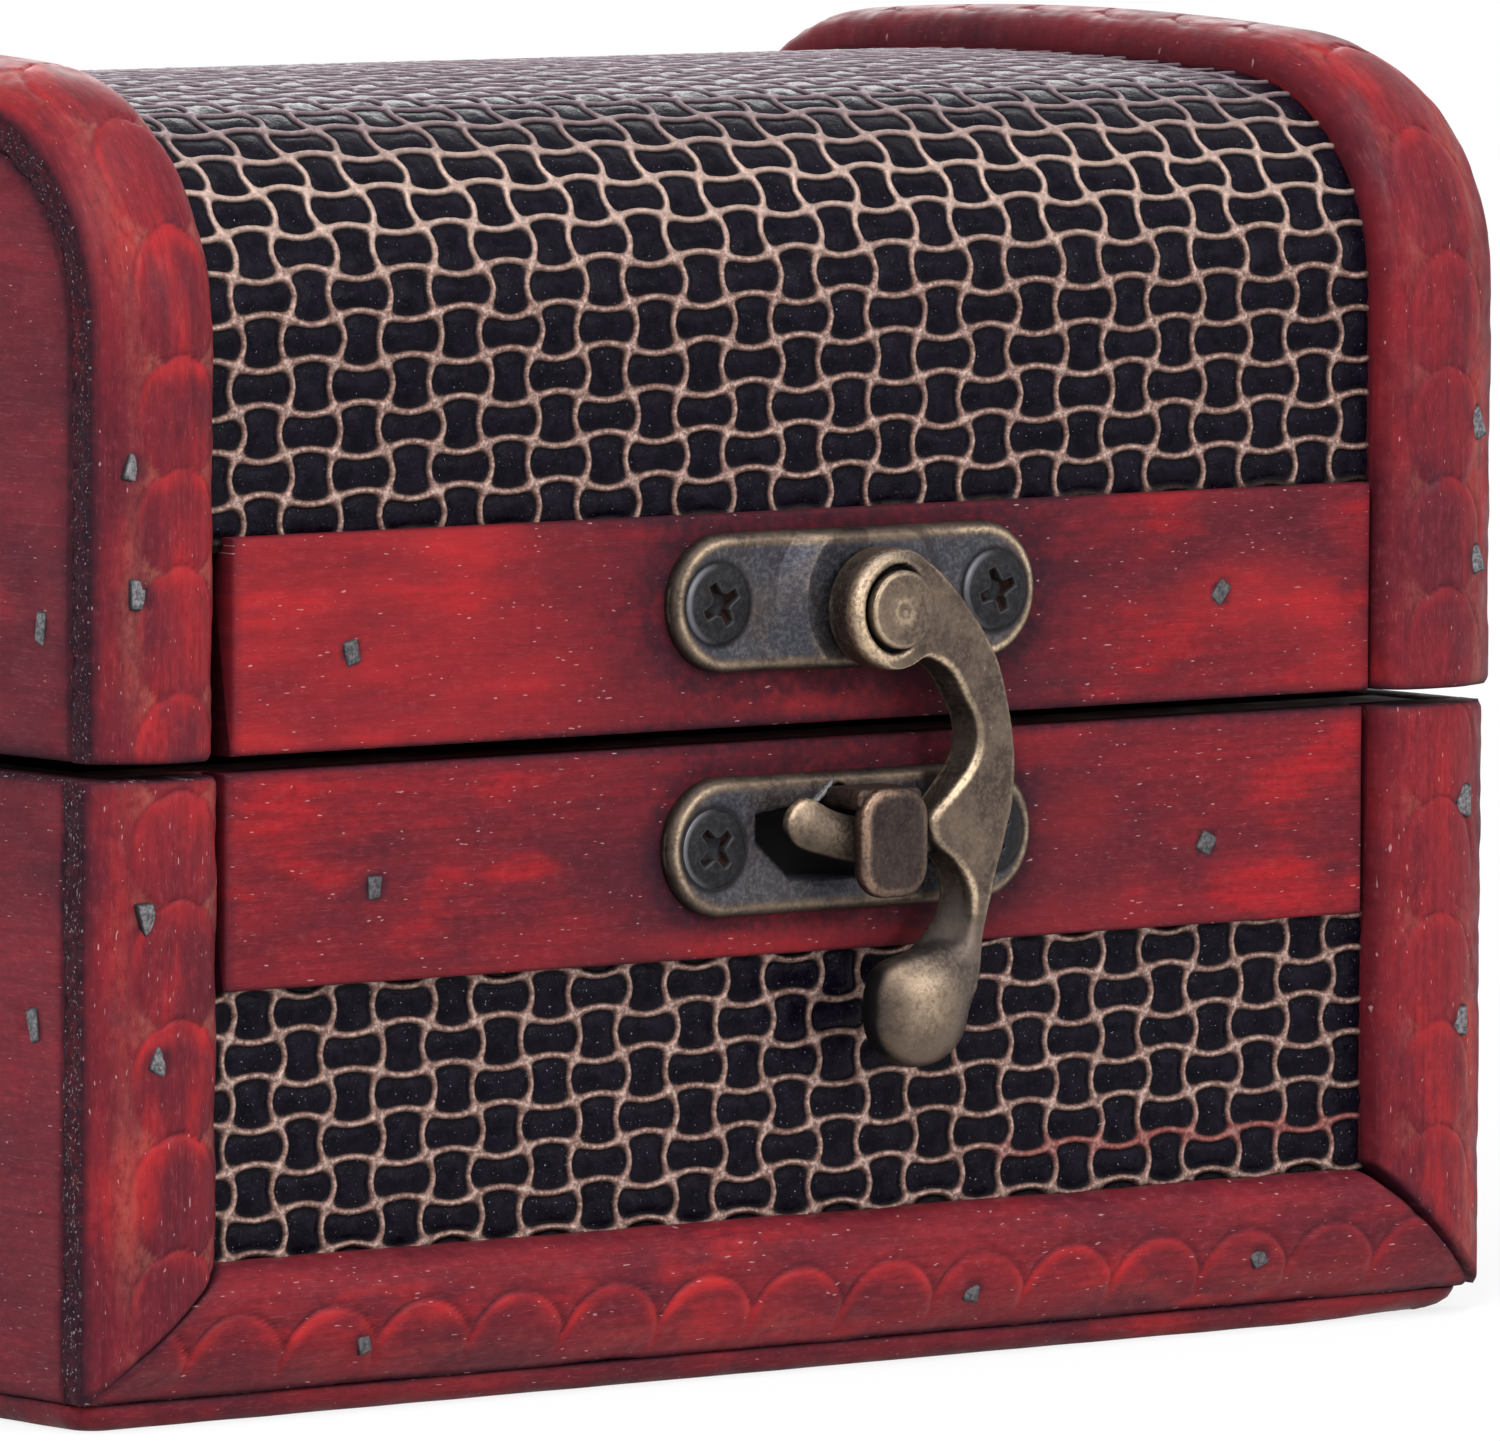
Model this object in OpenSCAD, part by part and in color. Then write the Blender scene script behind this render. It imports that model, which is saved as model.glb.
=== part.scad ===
// Small wooden storage box with a domed lid: stained boards, half-round
// mouldings, lattice-patterned covering, a brass swing-hook latch and
// two butt hinges. Millimetres, +Z up, front face towards -Y.
// The origin is in the middle of the underside.

/* [Box] */
// Width over the end boards
box_w = 110; // [80:1:200]
// Depth between the front and back covered faces
box_d = 64; // [50:1:120]
// Height of the base, bottom board included
base_h = 38.7; // [36:0.1:80]
// Gap between the closed lid and the base
seam = 1; // [0.7:0.1:1.5]
// How far the lid sits to the right of the base
lid_shift = 0.5; // [0:0.1:0.7]

/* [Lid curve] */
// Straight height of the lid's front, below its curve
lid_side_h = 25; // [20:0.5:50]
// Radius of the covered face at the lid's shoulders
shoulder_r = 13; // [9:0.5:20]
// Radius of the covered face over the lid's top
crown_r = 280; // [180:5:400]

/* [Boards] */
// Thickness of the upright boards
board_t = 4; // [3:0.1:5]
// Thickness of the bottom board
bottom_t = 1.6; // [1.2:0.1:3]
// Thickness of the sheet bent over the lid's top
top_sheet_t = 2; // [1.5:0.1:3]
// Thickness of the covering and its backing
covering_t = 1.2; // [0.8:0.1:1.4]

/* [Mouldings] */
// Width of the upright and arched mouldings
trim_w = 9.5; // [8:0.1:12]
// Width of the bottom mouldings
bottom_trim_w = 8; // [7:0.1:11]
// Height of a moulding's crown above the covered face
trim_rise = 2.9; // [2:0.1:2.9]
// Height of a moulding's outer edge above the covered face
trim_edge_rise = 0.9; // [0.5:0.1:1.2]
// Radius of the easing on a moulding's inner edge
trim_ease_r = 2.2; // [1.5:0.1:2.6]
// Open gap at the right-hand mitre of a bottom moulding
mitre_gap = 0.3; // [0:0.05:0.5]

/* [Rails] */
// Height of each rail beside the seam
rail_h = 13; // [12:0.1:15]
// How far a rail's face stands out from the covered face
rail_rise = 1.2; // [0.8:0.1:1.4]
// Gap between a rail's end and the moulding beside it
rail_end_gap = 0.8; // [0.3:0.1:1.5]

/* [Latch] */
// Length of each latch plate
plate_l = 28.6; // [26:0.1:34]
// Height of each latch plate
plate_w = 8.5; // [7.5:0.1:9.5]
// Thickness of a latch plate
plate_t = 1; // [0.8:0.1:1.2]
// Middle of the catch plate, right of the box's middle
catch_x = 2.6; // [-6:0.1:6]
// Middle of the hook plate, above the lid's lower edge
hook_plate_rise = 7.65; // [7:0.05:8]
// Height of the bridge that carries the hook, above the rail
bridge_rise = 2; // [1.9:0.1:2.4]
// Thickness of the swing hook
hook_t = 2.2; // [1.8:0.1:2.6]
// Radius of the round end of the hook on its rivet
hub_r = 3.75; // [3.4:0.05:4]
// Radius of the rivet that the hook turns on
rivet_r = 1.6; // [1.3:0.05:1.9]
// Radius of the rivet's head
rivet_head_r = 2.4; // [2.2:0.1:2.8]
// Distance from the rivet to the near edge of the prong
prong_in_r = 12.8; // [12.4:0.1:13.6]
// Width of the prong
prong_w = 2.8; // [2.2:0.1:3]
// Radius of the finger knob at the hook's tail
knob_r = 3.5; // [3:0.05:4]
// Width of the catch's head
head_w = 5.1; // [4.5:0.1:6]

/* [Hinges] */
// Width of a hinge
hinge_w = 14; // [10:0.5:20]
// Height of each hinge leaf, below or above the knuckles
leaf_h = 8; // [7:0.1:9]
// Thickness of a hinge leaf
leaf_t = 0.7; // [0.65:0.01:0.8]
// Radius of the knuckles
knuckle_r = 1.15; // [1.05:0.05:1.2]
// Radius of the hinge pins
pin_r = 0.55; // [0.4:0.05:0.6]

/* [Fasteners] */
// Radius of a brad's shank
brad_r = 0.35; // [0.25:0.05:0.45]
// Radius of a brad's head
brad_head_r = 0.65; // [0.55:0.05:0.8]
// Radius of a latch screw's head
screw_head_r = 2.5; // [2.2:0.1:2.8]
// Radius of a latch screw's shank
screw_r = 0.9; // [0.7:0.05:1.1]
// Radius of a hinge screw's head
hinge_screw_head_r = 1.4; // [1.2:0.1:1.6]
// Radius of a hinge screw's shank
hinge_screw_r = 0.6; // [0.5:0.05:0.7]

/* [Hidden] */
$fn = 96;
// Steps round the large arc of the lid's top
crown_steps = 1440;
// How far a cut runs past the face that it opens
overrun = 1;

wood_red = [0.55, 0.12, 0.14];
wood_dark = [0.36, 0.13, 0.17];
covering_color = [0.16, 0.15, 0.19];
brass = [0.42, 0.34, 0.22];
screw_color = [0.13, 0.13, 0.14];
brad_color = [0.42, 0.40, 0.42];

half_w = box_w / 2;
half_d = box_d / 2;
carcass_half_d = half_d - covering_t;
inner_half_w = half_w - board_t;
opening_half_w = half_w - trim_w;
base_wall_h = base_h - bottom_t;
base_rail_z = base_h - rail_h;
bottom_trim_top = bottom_t + bottom_trim_w;
lid_z = base_h + seam;
lid_rail_top = lid_z + rail_h;
shoulder_z = lid_z + lid_side_h;

// The lid's top is one shallow arc that runs smoothly into a tighter arc at each shoulder
shoulder_y = half_d - shoulder_r;
crown_half_angle = asin(shoulder_y / (crown_r - shoulder_r));
crown_z = shoulder_z - (crown_r - shoulder_r) * cos(crown_half_angle);

// A moulding's crown lies this share of its width in from the outer edge
trim_crown_share = 0.63;
// The core of an arched moulding: its margin at each side, its rise and its depth
core_margin = 1;
core_rise = trim_edge_rise * 2 / 3;
core_depth = covering_t * 3 / 4;

rail_half_l = opening_half_w - rail_end_gap;
rail_t = rail_rise + covering_t;

// Brads on the front, each as shares: across the piece from its outer or lower edge, then up it
base_left_brad_shares = [[0.37, 0.79], [0.46, 0.57]];
base_right_brad_shares = [[0.30, 0.84], [0.32, 0.48]];
lid_left_brad_shares = [[0.23, 0.70], [0.27, 0.40]];
lid_right_brad_shares = [[0.26, 0.66], [0.27, 0.32]];
// Along the half width, then up the piece
bottom_brad_shares = [[-0.64, 0.35], [0.22, 0.34], [0.64, 0.40]];
base_rail_brad_shares = [[-0.61, 0.44], [0.58, 0.39]];
lid_rail_brad_shares = [[-0.65, 0.45], [0.59, 0.51]];
// The back rails' brads stand between the hinges
back_rail_brad_shares = [[-0.21, 0.46], [0.23, 0.42]];
// Side brads: up the base wall and up the lid's straight side, into the board's end
base_side_brad_share = 0.62;
lid_side_brad_share = 0.31;
side_brad_depth_share = 0.75;
brad_head_t = 0.3;
brad_stand = 0.1;
brad_bite = 2.4;
side_brad_bite = 3;
// Clearance of a fixed pin in its hole
fixed_fit = 0.02;

// Latch, measured outwards from the rail's face
plate_round = 0.6;
screw_pitch = 21.8;
screw_head_stand = 0.3;
screw_point = 5.2;
screw_slot_w = 0.6;
screw_slot_l = 3;
screw_slot_t = 0.6;
hook_plate_dx = -0.3;
hook_plate_x = catch_x + hook_plate_dx;
hook_plate_z = lid_z + hook_plate_rise;
pivot_dx = 0.3;
pivot_dz = -0.55;
pivot_x = hook_plate_x + pivot_dx + lid_shift;
pivot_z = hook_plate_z + pivot_dz;
bridge_foot_half_l = 7;
bridge_top_half_l = 5.2;
bridge_margin = 0.3;
bridge_wall = 1;
hook_gap = 0.1;
hook_back = bridge_rise + hook_gap;
hook_front = hook_back + hook_t;
running_fit = 0.05;
rivet_head_t = 0.8;
rivet_tail_r = 2.2;
rivet_tail_t = 0.7;

// The hook's outline hangs from the rivet: a C-shaped arm, a prong and a curled tail with a knob
arm_out_r = 10.3;
arm_out_x = -0.8;
arm_out_z = -8.9;
arm_in_r = 4.7;
arm_in_x = 1.8;
arm_in_z = -7.9;
shoulder_angle = 45;
prong_out_r = prong_in_r + prong_w;
prong_tip_angle = 26;
prong_t = hook_t - 0.5;
tail_x = 1.9;
tail_z = -prong_in_r - 5.6;
tail_out_r = 5.9;
tail_in_r = 4.2;
tail_end_angle = -70;
knob_x = 2.5;
knob_z = tail_z - 6;
waist_inset = 0.2;
knob_front = hook_front + 1.2;
knob_back = 1.5;

// The catch: a stem that reaches out above the prong, and a head that hangs down in front of it
stem_gap = 0.6;
stem_drop = 1.3;
stem_z = pivot_z - prong_in_r + stem_gap;
stem_over_plate = 2.1;
catch_z = stem_z - stem_over_plate;
head_gap = 0.2;
head_t = 1.2;
head_back = hook_back + prong_t + head_gap;
head_l = 6.6;
head_over_stem = 0.1;
head_corner_r = 1.8;
// Where the hook keeps clear of the head, seen from the rivet
head_clearance = 0.6;
head_side_x = catch_x + head_w / 2 + head_clearance - pivot_x;
head_top_z = stem_z + stem_drop + head_over_stem + head_clearance - pivot_z;
window_half_l = 7;
window_below = 2.3;

// Hinges on the back rails
hinge_x_share = 0.52;
hinge_x = half_w * hinge_x_share;
hinge_gap = 0.15;
axis_out = knuckle_r + hinge_gap;
axis_z = base_h + seam / 2;
middle_knuckle_l = hinge_w / 3;
knuckle_gap = 0.2;
leaf_corner_r = 1;
leaf_start = knuckle_r + knuckle_gap;
neck_back = 0.2;
neck_front = 0.65;
neck_overlap = 0.5;
hinge_screw_x_share = 0.29;
hinge_screw_y_share = 0.55;
hinge_screw_point = 4.6;
hinge_screw_head_stand = 0.2;
hinge_slot_w = 0.35;
hinge_slot_l = 1.8;
hinge_slot_t = 0.35;

// Placing

module at_back() {
    mirror([0, 1, 0]) children();
}

module at_right() {
    mirror([1, 0, 0]) children();
}

module on_lid() {
    translate([lid_shift, 0, 0]) children();
}

// Stands children on the front rail's face: their z points out, their y points up
module on_front_rail(x, z) {
    translate([x, -(half_d + rail_rise), z]) rotate([90, 0, 0]) children();
}

module block(low, high) {
    translate(low) cube(high - low);
}

// Moulding section: x runs in from the outer edge, -y is out from the covered face

function trim_crown_s(w) = w * trim_crown_share;

function trim_arc_r(w) =
    let (drop = trim_rise - trim_edge_rise)
    (trim_crown_s(w) * trim_crown_s(w) + drop * drop) / (2 * drop);

function trim_height(w, s) =
    let (r = trim_arc_r(w), ds = s - trim_crown_s(w))
    trim_rise - r + sqrt(r * r - ds * ds);

module trim_section(w) {
    r = trim_arc_r(w);
    ease_s = w - trim_ease_r;
    ds = ease_s - trim_crown_s(w);
    rise = sqrt((r - trim_ease_r) * (r - trim_ease_r) - ds * ds);
    ease_h = trim_rise - r + rise;
    meet_s = trim_crown_s(w) + r * ds / (r - trim_ease_r);
    intersection() {
        translate([0, -trim_rise]) square([meet_s, trim_rise + covering_t]);
        translate([trim_crown_s(w), r - trim_rise]) circle(r = r);
    }
    intersection() {
        translate([meet_s, -trim_rise]) square([w - meet_s, trim_rise + covering_t]);
        union() {
            translate([ease_s, -ease_h]) circle(r = trim_ease_r);
            translate([0, -ease_h]) square([w, ease_h + covering_t]);
        }
    }
}

// Lid curve

module lid_outline(inset) {
    wedge_top = shoulder_z + 2 * shoulder_r;
    translate([-half_d + inset, lid_z]) square([box_d - 2 * inset, lid_side_h]);
    for (side = [-1, 1]) {
        translate([side * shoulder_y, shoulder_z]) circle(r = shoulder_r - inset);
    }
    intersection() {
        translate([0, crown_z]) circle(r = crown_r - inset, $fn = crown_steps);
        polygon([
            [-shoulder_y, shoulder_z],
            [shoulder_y, shoulder_z],
            [(wedge_top - crown_z) * tan(crown_half_angle), wedge_top],
            [-(wedge_top - crown_z) * tan(crown_half_angle), wedge_top]
        ]);
    }
}

// The strip between two depths below the covered face, drawn as a side view
module lid_strip(outer_inset, inner_inset) {
    difference() {
        lid_outline(outer_inset);
        translate([0, -overrun]) lid_outline(inner_inset);
        lid_outline(inner_inset);
    }
}

// Extrudes a side view across the box, between two places along x
module across(from_x, to_x) {
    translate([from_x, 0, 0]) rotate([90, 0, 90]) linear_extrude(to_x - from_x) children();
}

// Children are a flat section: x is the height above the covered face, y is the place across the box
module sweep_front() {
    translate([0, -half_d, lid_z]) linear_extrude(lid_side_h) rotate(-90) children();
}

module sweep_shoulder() {
    translate([0, -shoulder_y, shoulder_z]) rotate([180, -90, 0]) rotate([0, 0, crown_half_angle])
        rotate_extrude(angle = 90 - crown_half_angle) translate([shoulder_r, 0]) children();
}

module sweep_crown() {
    translate([0, 0, crown_z]) rotate([180, -90, 0]) rotate([0, 0, -crown_half_angle])
        rotate_extrude(angle = 2 * crown_half_angle, $fn = crown_steps)
            translate([crown_r, 0]) children();
}

module sweep_over_lid() {
    sweep_front() children();
    sweep_shoulder() children();
    sweep_crown() children();
    at_back() sweep_shoulder() children();
    at_back() sweep_front() children();
}

// One moulding over the lid at its left end; the core runs through all the stretches and joins them
module arched_moulding() {
    sweep_over_lid() translate([0, -half_w]) rotate(90) trim_section(trim_w);
    across(core_margin - half_w, trim_w - core_margin - half_w) lid_strip(-core_rise, core_depth);
}

// Brads

// A brad with its head at the origin, driven along +Y; grow widens it into its hole
module brad(depth, grow = 0) {
    rotate([-90, 0, 0]) {
        translate([0, 0, -brad_stand]) cylinder(r = brad_head_r + grow, h = brad_head_t + grow);
        cylinder(r = brad_r + grow, h = depth + grow);
    }
}

module brad_in_face(x, z, rise, grow) {
    translate([x, -(half_d + rise), z]) brad(rise + covering_t + brad_bite, grow);
}

module upright_brads(shares, right, z0, height, grow) {
    for (share = shares) {
        s = share[0] * trim_w;
        x = right ? half_w - s : s - half_w;
        brad_in_face(x, z0 + share[1] * height, trim_height(trim_w, s), grow);
    }
}

module rail_brads(shares, z0, grow) {
    for (share = shares) {
        brad_in_face(share[0] * half_w, z0 + share[1] * rail_h, rail_rise, grow);
    }
}

module side_brad(z, grow) {
    y = -carcass_half_d + side_brad_depth_share * board_t;
    translate([-half_w, y, z]) rotate([0, 0, -90]) brad(board_t + side_brad_bite, grow);
    at_right() translate([-half_w, y, z]) rotate([0, 0, -90]) brad(board_t + side_brad_bite, grow);
}

module base_brads_one_face(rail_shares, grow) {
    upright_brads(base_left_brad_shares, false, 0, base_h, grow);
    upright_brads(base_right_brad_shares, true, 0, base_h, grow);
    rail_brads(rail_shares, base_rail_z, grow);
    for (share = bottom_brad_shares) {
        s = share[1] * bottom_trim_w;
        brad_in_face(share[0] * half_w, bottom_t + s, trim_height(bottom_trim_w, s), grow);
    }
    side_brad(base_side_brad_share * base_h, grow);
}

module lid_brads_one_face(rail_shares, grow) {
    upright_brads(lid_left_brad_shares, false, lid_z, lid_side_h, grow);
    upright_brads(lid_right_brad_shares, true, lid_z, lid_side_h, grow);
    rail_brads(rail_shares, lid_z, grow);
    side_brad(lid_z + lid_side_brad_share * lid_side_h, grow);
}

module all_base_brads(grow = 0) {
    base_brads_one_face(base_rail_brad_shares, grow);
    at_back() base_brads_one_face(back_rail_brad_shares, grow);
}

module all_lid_brads(grow = 0) {
    lid_brads_one_face(lid_rail_brad_shares, grow);
    at_back() lid_brads_one_face(back_rail_brad_shares, grow);
}

// Screws: z points out of the wood, z = 0 is the face under the plate

module screw(head_r, shank_r, sheet_t, stand, point, slot_w, slot_l, slot_t) {
    difference() {
        union() {
            translate([0, 0, -point]) cylinder(r = shank_r, h = point + sheet_t);
            cylinder(r1 = shank_r, r2 = head_r, h = sheet_t);
            translate([0, 0, sheet_t]) cylinder(r = head_r, h = stand);
        }
        for (turn = [0, 90]) {
            rotate([0, 0, turn]) translate([-slot_l / 2, -slot_w / 2, sheet_t + stand - slot_t])
                cube([slot_l, slot_w, slot_t + overrun]);
        }
    }
}

module screw_hole(head_r, shank_r, sheet_t, point) {
    translate([0, 0, -point - fixed_fit]) cylinder(r = shank_r + fixed_fit, h = point + sheet_t);
    cylinder(r1 = shank_r + fixed_fit, r2 = head_r + fixed_fit, h = sheet_t);
    translate([0, 0, sheet_t]) cylinder(r = head_r + fixed_fit, h = overrun);
}

module latch_screw_places() {
    for (side = [-1, 1]) {
        translate([side * screw_pitch / 2, 0, 0]) children();
    }
}

module latch_screws() {
    latch_screw_places() screw(screw_head_r, screw_r, plate_t, screw_head_stand, screw_point,
        screw_slot_w, screw_slot_l, screw_slot_t);
}

module latch_screw_holes() {
    latch_screw_places() screw_hole(screw_head_r, screw_r, plate_t, screw_point);
}

module hinge_screw_places() {
    for (side = [-1, 1]) {
        translate([side * hinge_w * hinge_screw_x_share, leaf_start + leaf_h * hinge_screw_y_share, 0])
            children();
    }
}

module hinge_screws() {
    hinge_screw_places() screw(hinge_screw_head_r, hinge_screw_r, leaf_t, hinge_screw_head_stand,
        hinge_screw_point, hinge_slot_w, hinge_slot_l, hinge_slot_t);
}

module hinge_screw_holes() {
    hinge_screw_places() screw_hole(hinge_screw_head_r, hinge_screw_r, leaf_t, hinge_screw_point);
}

// Children as drawn when way is above zero, and mirrored in y when it is below
module facing(way) {
    if (way > 0) {
        children();
    } else {
        mirror([0, 1, 0]) children();
    }
}

// A hinge's frame on the back rail, at each end of the box; up is +1 for the lid's leaf
module at_hinge(side, up) {
    at_back() on_front_rail(side * hinge_x, axis_z) facing(up) children();
}

module both_hinge_screw_holes(up) {
    for (side = [-1, 1]) {
        at_hinge(side, up) hinge_screw_holes();
    }
}

module hook_plate_screw_holes() {
    on_lid() on_front_rail(hook_plate_x, hook_plate_z) latch_screw_holes();
}

module catch_plate_screw_holes() {
    on_front_rail(catch_x, catch_z) latch_screw_holes();
}

// Base

module base_bottom_board() {
    color(wood_dark)
        block([-half_w, -half_d - trim_edge_rise, 0], [half_w, half_d + trim_edge_rise, bottom_t]);
}

module base_end() {
    block([-half_w, -carcass_half_d, bottom_t], [-inner_half_w, carcass_half_d, base_h]);
}

module base_left_end() {
    color(wood_dark) difference() {
        base_end();
        all_base_brads(fixed_fit);
    }
}

module base_right_end() {
    color(wood_dark) difference() {
        at_right() base_end();
        all_base_brads(fixed_fit);
    }
}

module base_long_board() {
    block([-inner_half_w, -carcass_half_d, bottom_t],
        [inner_half_w, -carcass_half_d + board_t, base_h]);
}

module base_front_board() {
    color(wood_dark) difference() {
        base_long_board();
        all_base_brads(fixed_fit);
        catch_plate_screw_holes();
    }
}

module base_back_board() {
    color(wood_dark) difference() {
        at_back() base_long_board();
        all_base_brads(fixed_fit);
        both_hinge_screw_holes(-1);
    }
}

module base_covering() {
    color(covering_color)
        block([-opening_half_w, -half_d, bottom_trim_top],
            [opening_half_w, -carcass_half_d, base_rail_z]);
}

module base_front_covering() {
    base_covering();
}

module base_back_covering() {
    at_back() base_covering();
}

module rail(z) {
    block([-rail_half_l, -half_d - rail_rise, z], [rail_half_l, -carcass_half_d, z + rail_h]);
}

module base_front_rail() {
    color(wood_red) difference() {
        rail(base_rail_z);
        all_base_brads(fixed_fit);
        catch_plate_screw_holes();
    }
}

module base_back_rail() {
    color(wood_red) difference() {
        at_back() rail(base_rail_z);
        all_base_brads(fixed_fit);
        both_hinge_screw_holes(-1);
    }
}

// The part of the front that the left mitre gives to the bottom moulding, moved right by gap
module below_mitre(gap) {
    reach = trim_rise + covering_t + overrun;
    translate([gap, -half_d + covering_t + overrun, 0]) rotate([90, 0, 0])
        linear_extrude(reach + overrun)
            polygon([
                [-half_w, bottom_t],
                [-opening_half_w, bottom_trim_top],
                [half_w, bottom_trim_top],
                [half_w, bottom_t]
            ]);
}

module base_upright_moulding() {
    difference() {
        translate([-half_w, -half_d, bottom_t]) linear_extrude(base_wall_h) trim_section(trim_w);
        below_mitre(0);
    }
}

module base_bottom_moulding() {
    intersection() {
        translate([0, -half_d, bottom_t]) rotate([0, -90, 0])
            linear_extrude(box_w, center = true) trim_section(bottom_trim_w);
        below_mitre(0);
        translate([-mitre_gap, 0, 0]) at_right() below_mitre(0);
    }
}

module base_front_left_moulding() {
    color(wood_red) difference() {
        base_upright_moulding();
        all_base_brads(fixed_fit);
    }
}

module base_front_right_moulding() {
    color(wood_red) difference() {
        at_right() base_upright_moulding();
        all_base_brads(fixed_fit);
    }
}

module base_front_bottom_moulding() {
    color(wood_red) difference() {
        base_bottom_moulding();
        all_base_brads(fixed_fit);
    }
}

module base_back_left_moulding() {
    color(wood_red) difference() {
        at_back() base_upright_moulding();
        all_base_brads(fixed_fit);
    }
}

module base_back_right_moulding() {
    color(wood_red) difference() {
        at_back() at_right() base_upright_moulding();
        all_base_brads(fixed_fit);
    }
}

module base_back_bottom_moulding() {
    color(wood_red) difference() {
        at_back() base_bottom_moulding();
        all_base_brads(fixed_fit);
    }
}

module base_brads() {
    color(brad_color) all_base_brads();
}

// Lid

module lid_end() {
    across(-half_w, -inner_half_w) lid_outline(covering_t);
}

module lid_left_end() {
    color(wood_dark) on_lid() difference() {
        lid_end();
        all_lid_brads(fixed_fit);
    }
}

module lid_right_end() {
    color(wood_dark) on_lid() difference() {
        at_right() lid_end();
        all_lid_brads(fixed_fit);
    }
}

module lid_long_board() {
    block([-inner_half_w, -carcass_half_d, lid_z],
        [inner_half_w, -carcass_half_d + board_t, shoulder_z]);
}

module lid_front_board() {
    color(wood_dark) difference() {
        on_lid() difference() {
            lid_long_board();
            all_lid_brads(fixed_fit);
        }
        hook_plate_screw_holes();
    }
}

module lid_back_board() {
    color(wood_dark) difference() {
        on_lid() difference() {
            at_back() lid_long_board();
            all_lid_brads(fixed_fit);
        }
        both_hinge_screw_holes(1);
    }
}

module lid_top_sheet() {
    color(wood_dark) on_lid() across(-inner_half_w, inner_half_w) intersection() {
        lid_strip(covering_t, covering_t + top_sheet_t);
        translate([-half_d, shoulder_z]) square([box_d, 2 * shoulder_r]);
    }
}

module lid_covering() {
    color(covering_color) on_lid() across(-opening_half_w, opening_half_w) intersection() {
        lid_strip(0, covering_t);
        translate([-half_d, lid_rail_top]) square([box_d, lid_side_h + 2 * shoulder_r]);
    }
}

module lid_front_rail() {
    color(wood_red) difference() {
        on_lid() difference() {
            rail(lid_z);
            all_lid_brads(fixed_fit);
        }
        hook_plate_screw_holes();
    }
}

module lid_back_rail() {
    color(wood_red) difference() {
        on_lid() difference() {
            at_back() rail(lid_z);
            all_lid_brads(fixed_fit);
        }
        both_hinge_screw_holes(1);
    }
}

module lid_left_moulding() {
    color(wood_red) on_lid() difference() {
        arched_moulding();
        all_lid_brads(fixed_fit);
    }
}

module lid_right_moulding() {
    color(wood_red) on_lid() difference() {
        at_right() arched_moulding();
        all_lid_brads(fixed_fit);
    }
}

module lid_brads() {
    color(brad_color) on_lid() all_lid_brads();
}

// Latch

module plate_edge_section(r) {
    square([r - plate_round, plate_t]);
    square([r, plate_t - plate_round]);
    translate([r - plate_round, plate_t - plate_round]) circle(r = plate_round, $fn = 32);
}

// A flat plate with round ends and an eased rim, lying on z = 0
module latch_plate_blank() {
    end_r = plate_w / 2;
    end_x = plate_l / 2 - end_r;
    for (side = [-1, 1]) {
        translate([side * end_x, 0, 0]) rotate_extrude() intersection() {
            plate_edge_section(end_r);
            square([end_r, plate_t]);
        }
        facing(side) rotate([90, 0, 90]) linear_extrude(2 * end_x, center = true) intersection() {
            plate_edge_section(end_r);
            square([end_r, plate_t]);
        }
    }
}

module hook_plate() {
    bridge_half_w = plate_w / 2 - bridge_margin;
    color(brass) on_lid() on_front_rail(hook_plate_x, hook_plate_z) difference() {
        union() {
            latch_plate_blank();
            rotate([90, 0, 0]) linear_extrude(2 * bridge_half_w, center = true)
                polygon([
                    [-bridge_foot_half_l, plate_t / 2],
                    [bridge_foot_half_l, plate_t / 2],
                    [bridge_top_half_l, bridge_rise],
                    [-bridge_top_half_l, bridge_rise]
                ]);
        }
        block([-bridge_top_half_l, -bridge_half_w + bridge_wall, -overrun],
            [bridge_top_half_l, bridge_half_w - bridge_wall, bridge_rise - bridge_wall]);
        latch_screw_holes();
        translate([pivot_dx, pivot_dz, 0]) cylinder(r = rivet_r + fixed_fit, h = bridge_rise + overrun);
    }
}

module hook_plate_screws() {
    color(screw_color) on_lid() on_front_rail(hook_plate_x, hook_plate_z) latch_screws();
}

module hook_rivet() {
    seat = bridge_rise - bridge_wall;
    head_z = hook_front + hook_gap;
    color(brass) on_front_rail(pivot_x, pivot_z) {
        translate([0, 0, seat - rivet_tail_t]) cylinder(r = rivet_tail_r, h = rivet_tail_t);
        translate([0, 0, seat - rivet_tail_t]) cylinder(r = rivet_r, h = head_z - seat + rivet_tail_t);
        translate([0, 0, head_z]) cylinder(r = rivet_head_r, h = rivet_head_t);
    }
}

module ring_part(x, z, out_r, in_r) {
    intersection() {
        translate([x, z]) difference() {
            circle(r = out_r);
            circle(r = in_r);
        }
        children();
    }
}

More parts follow.
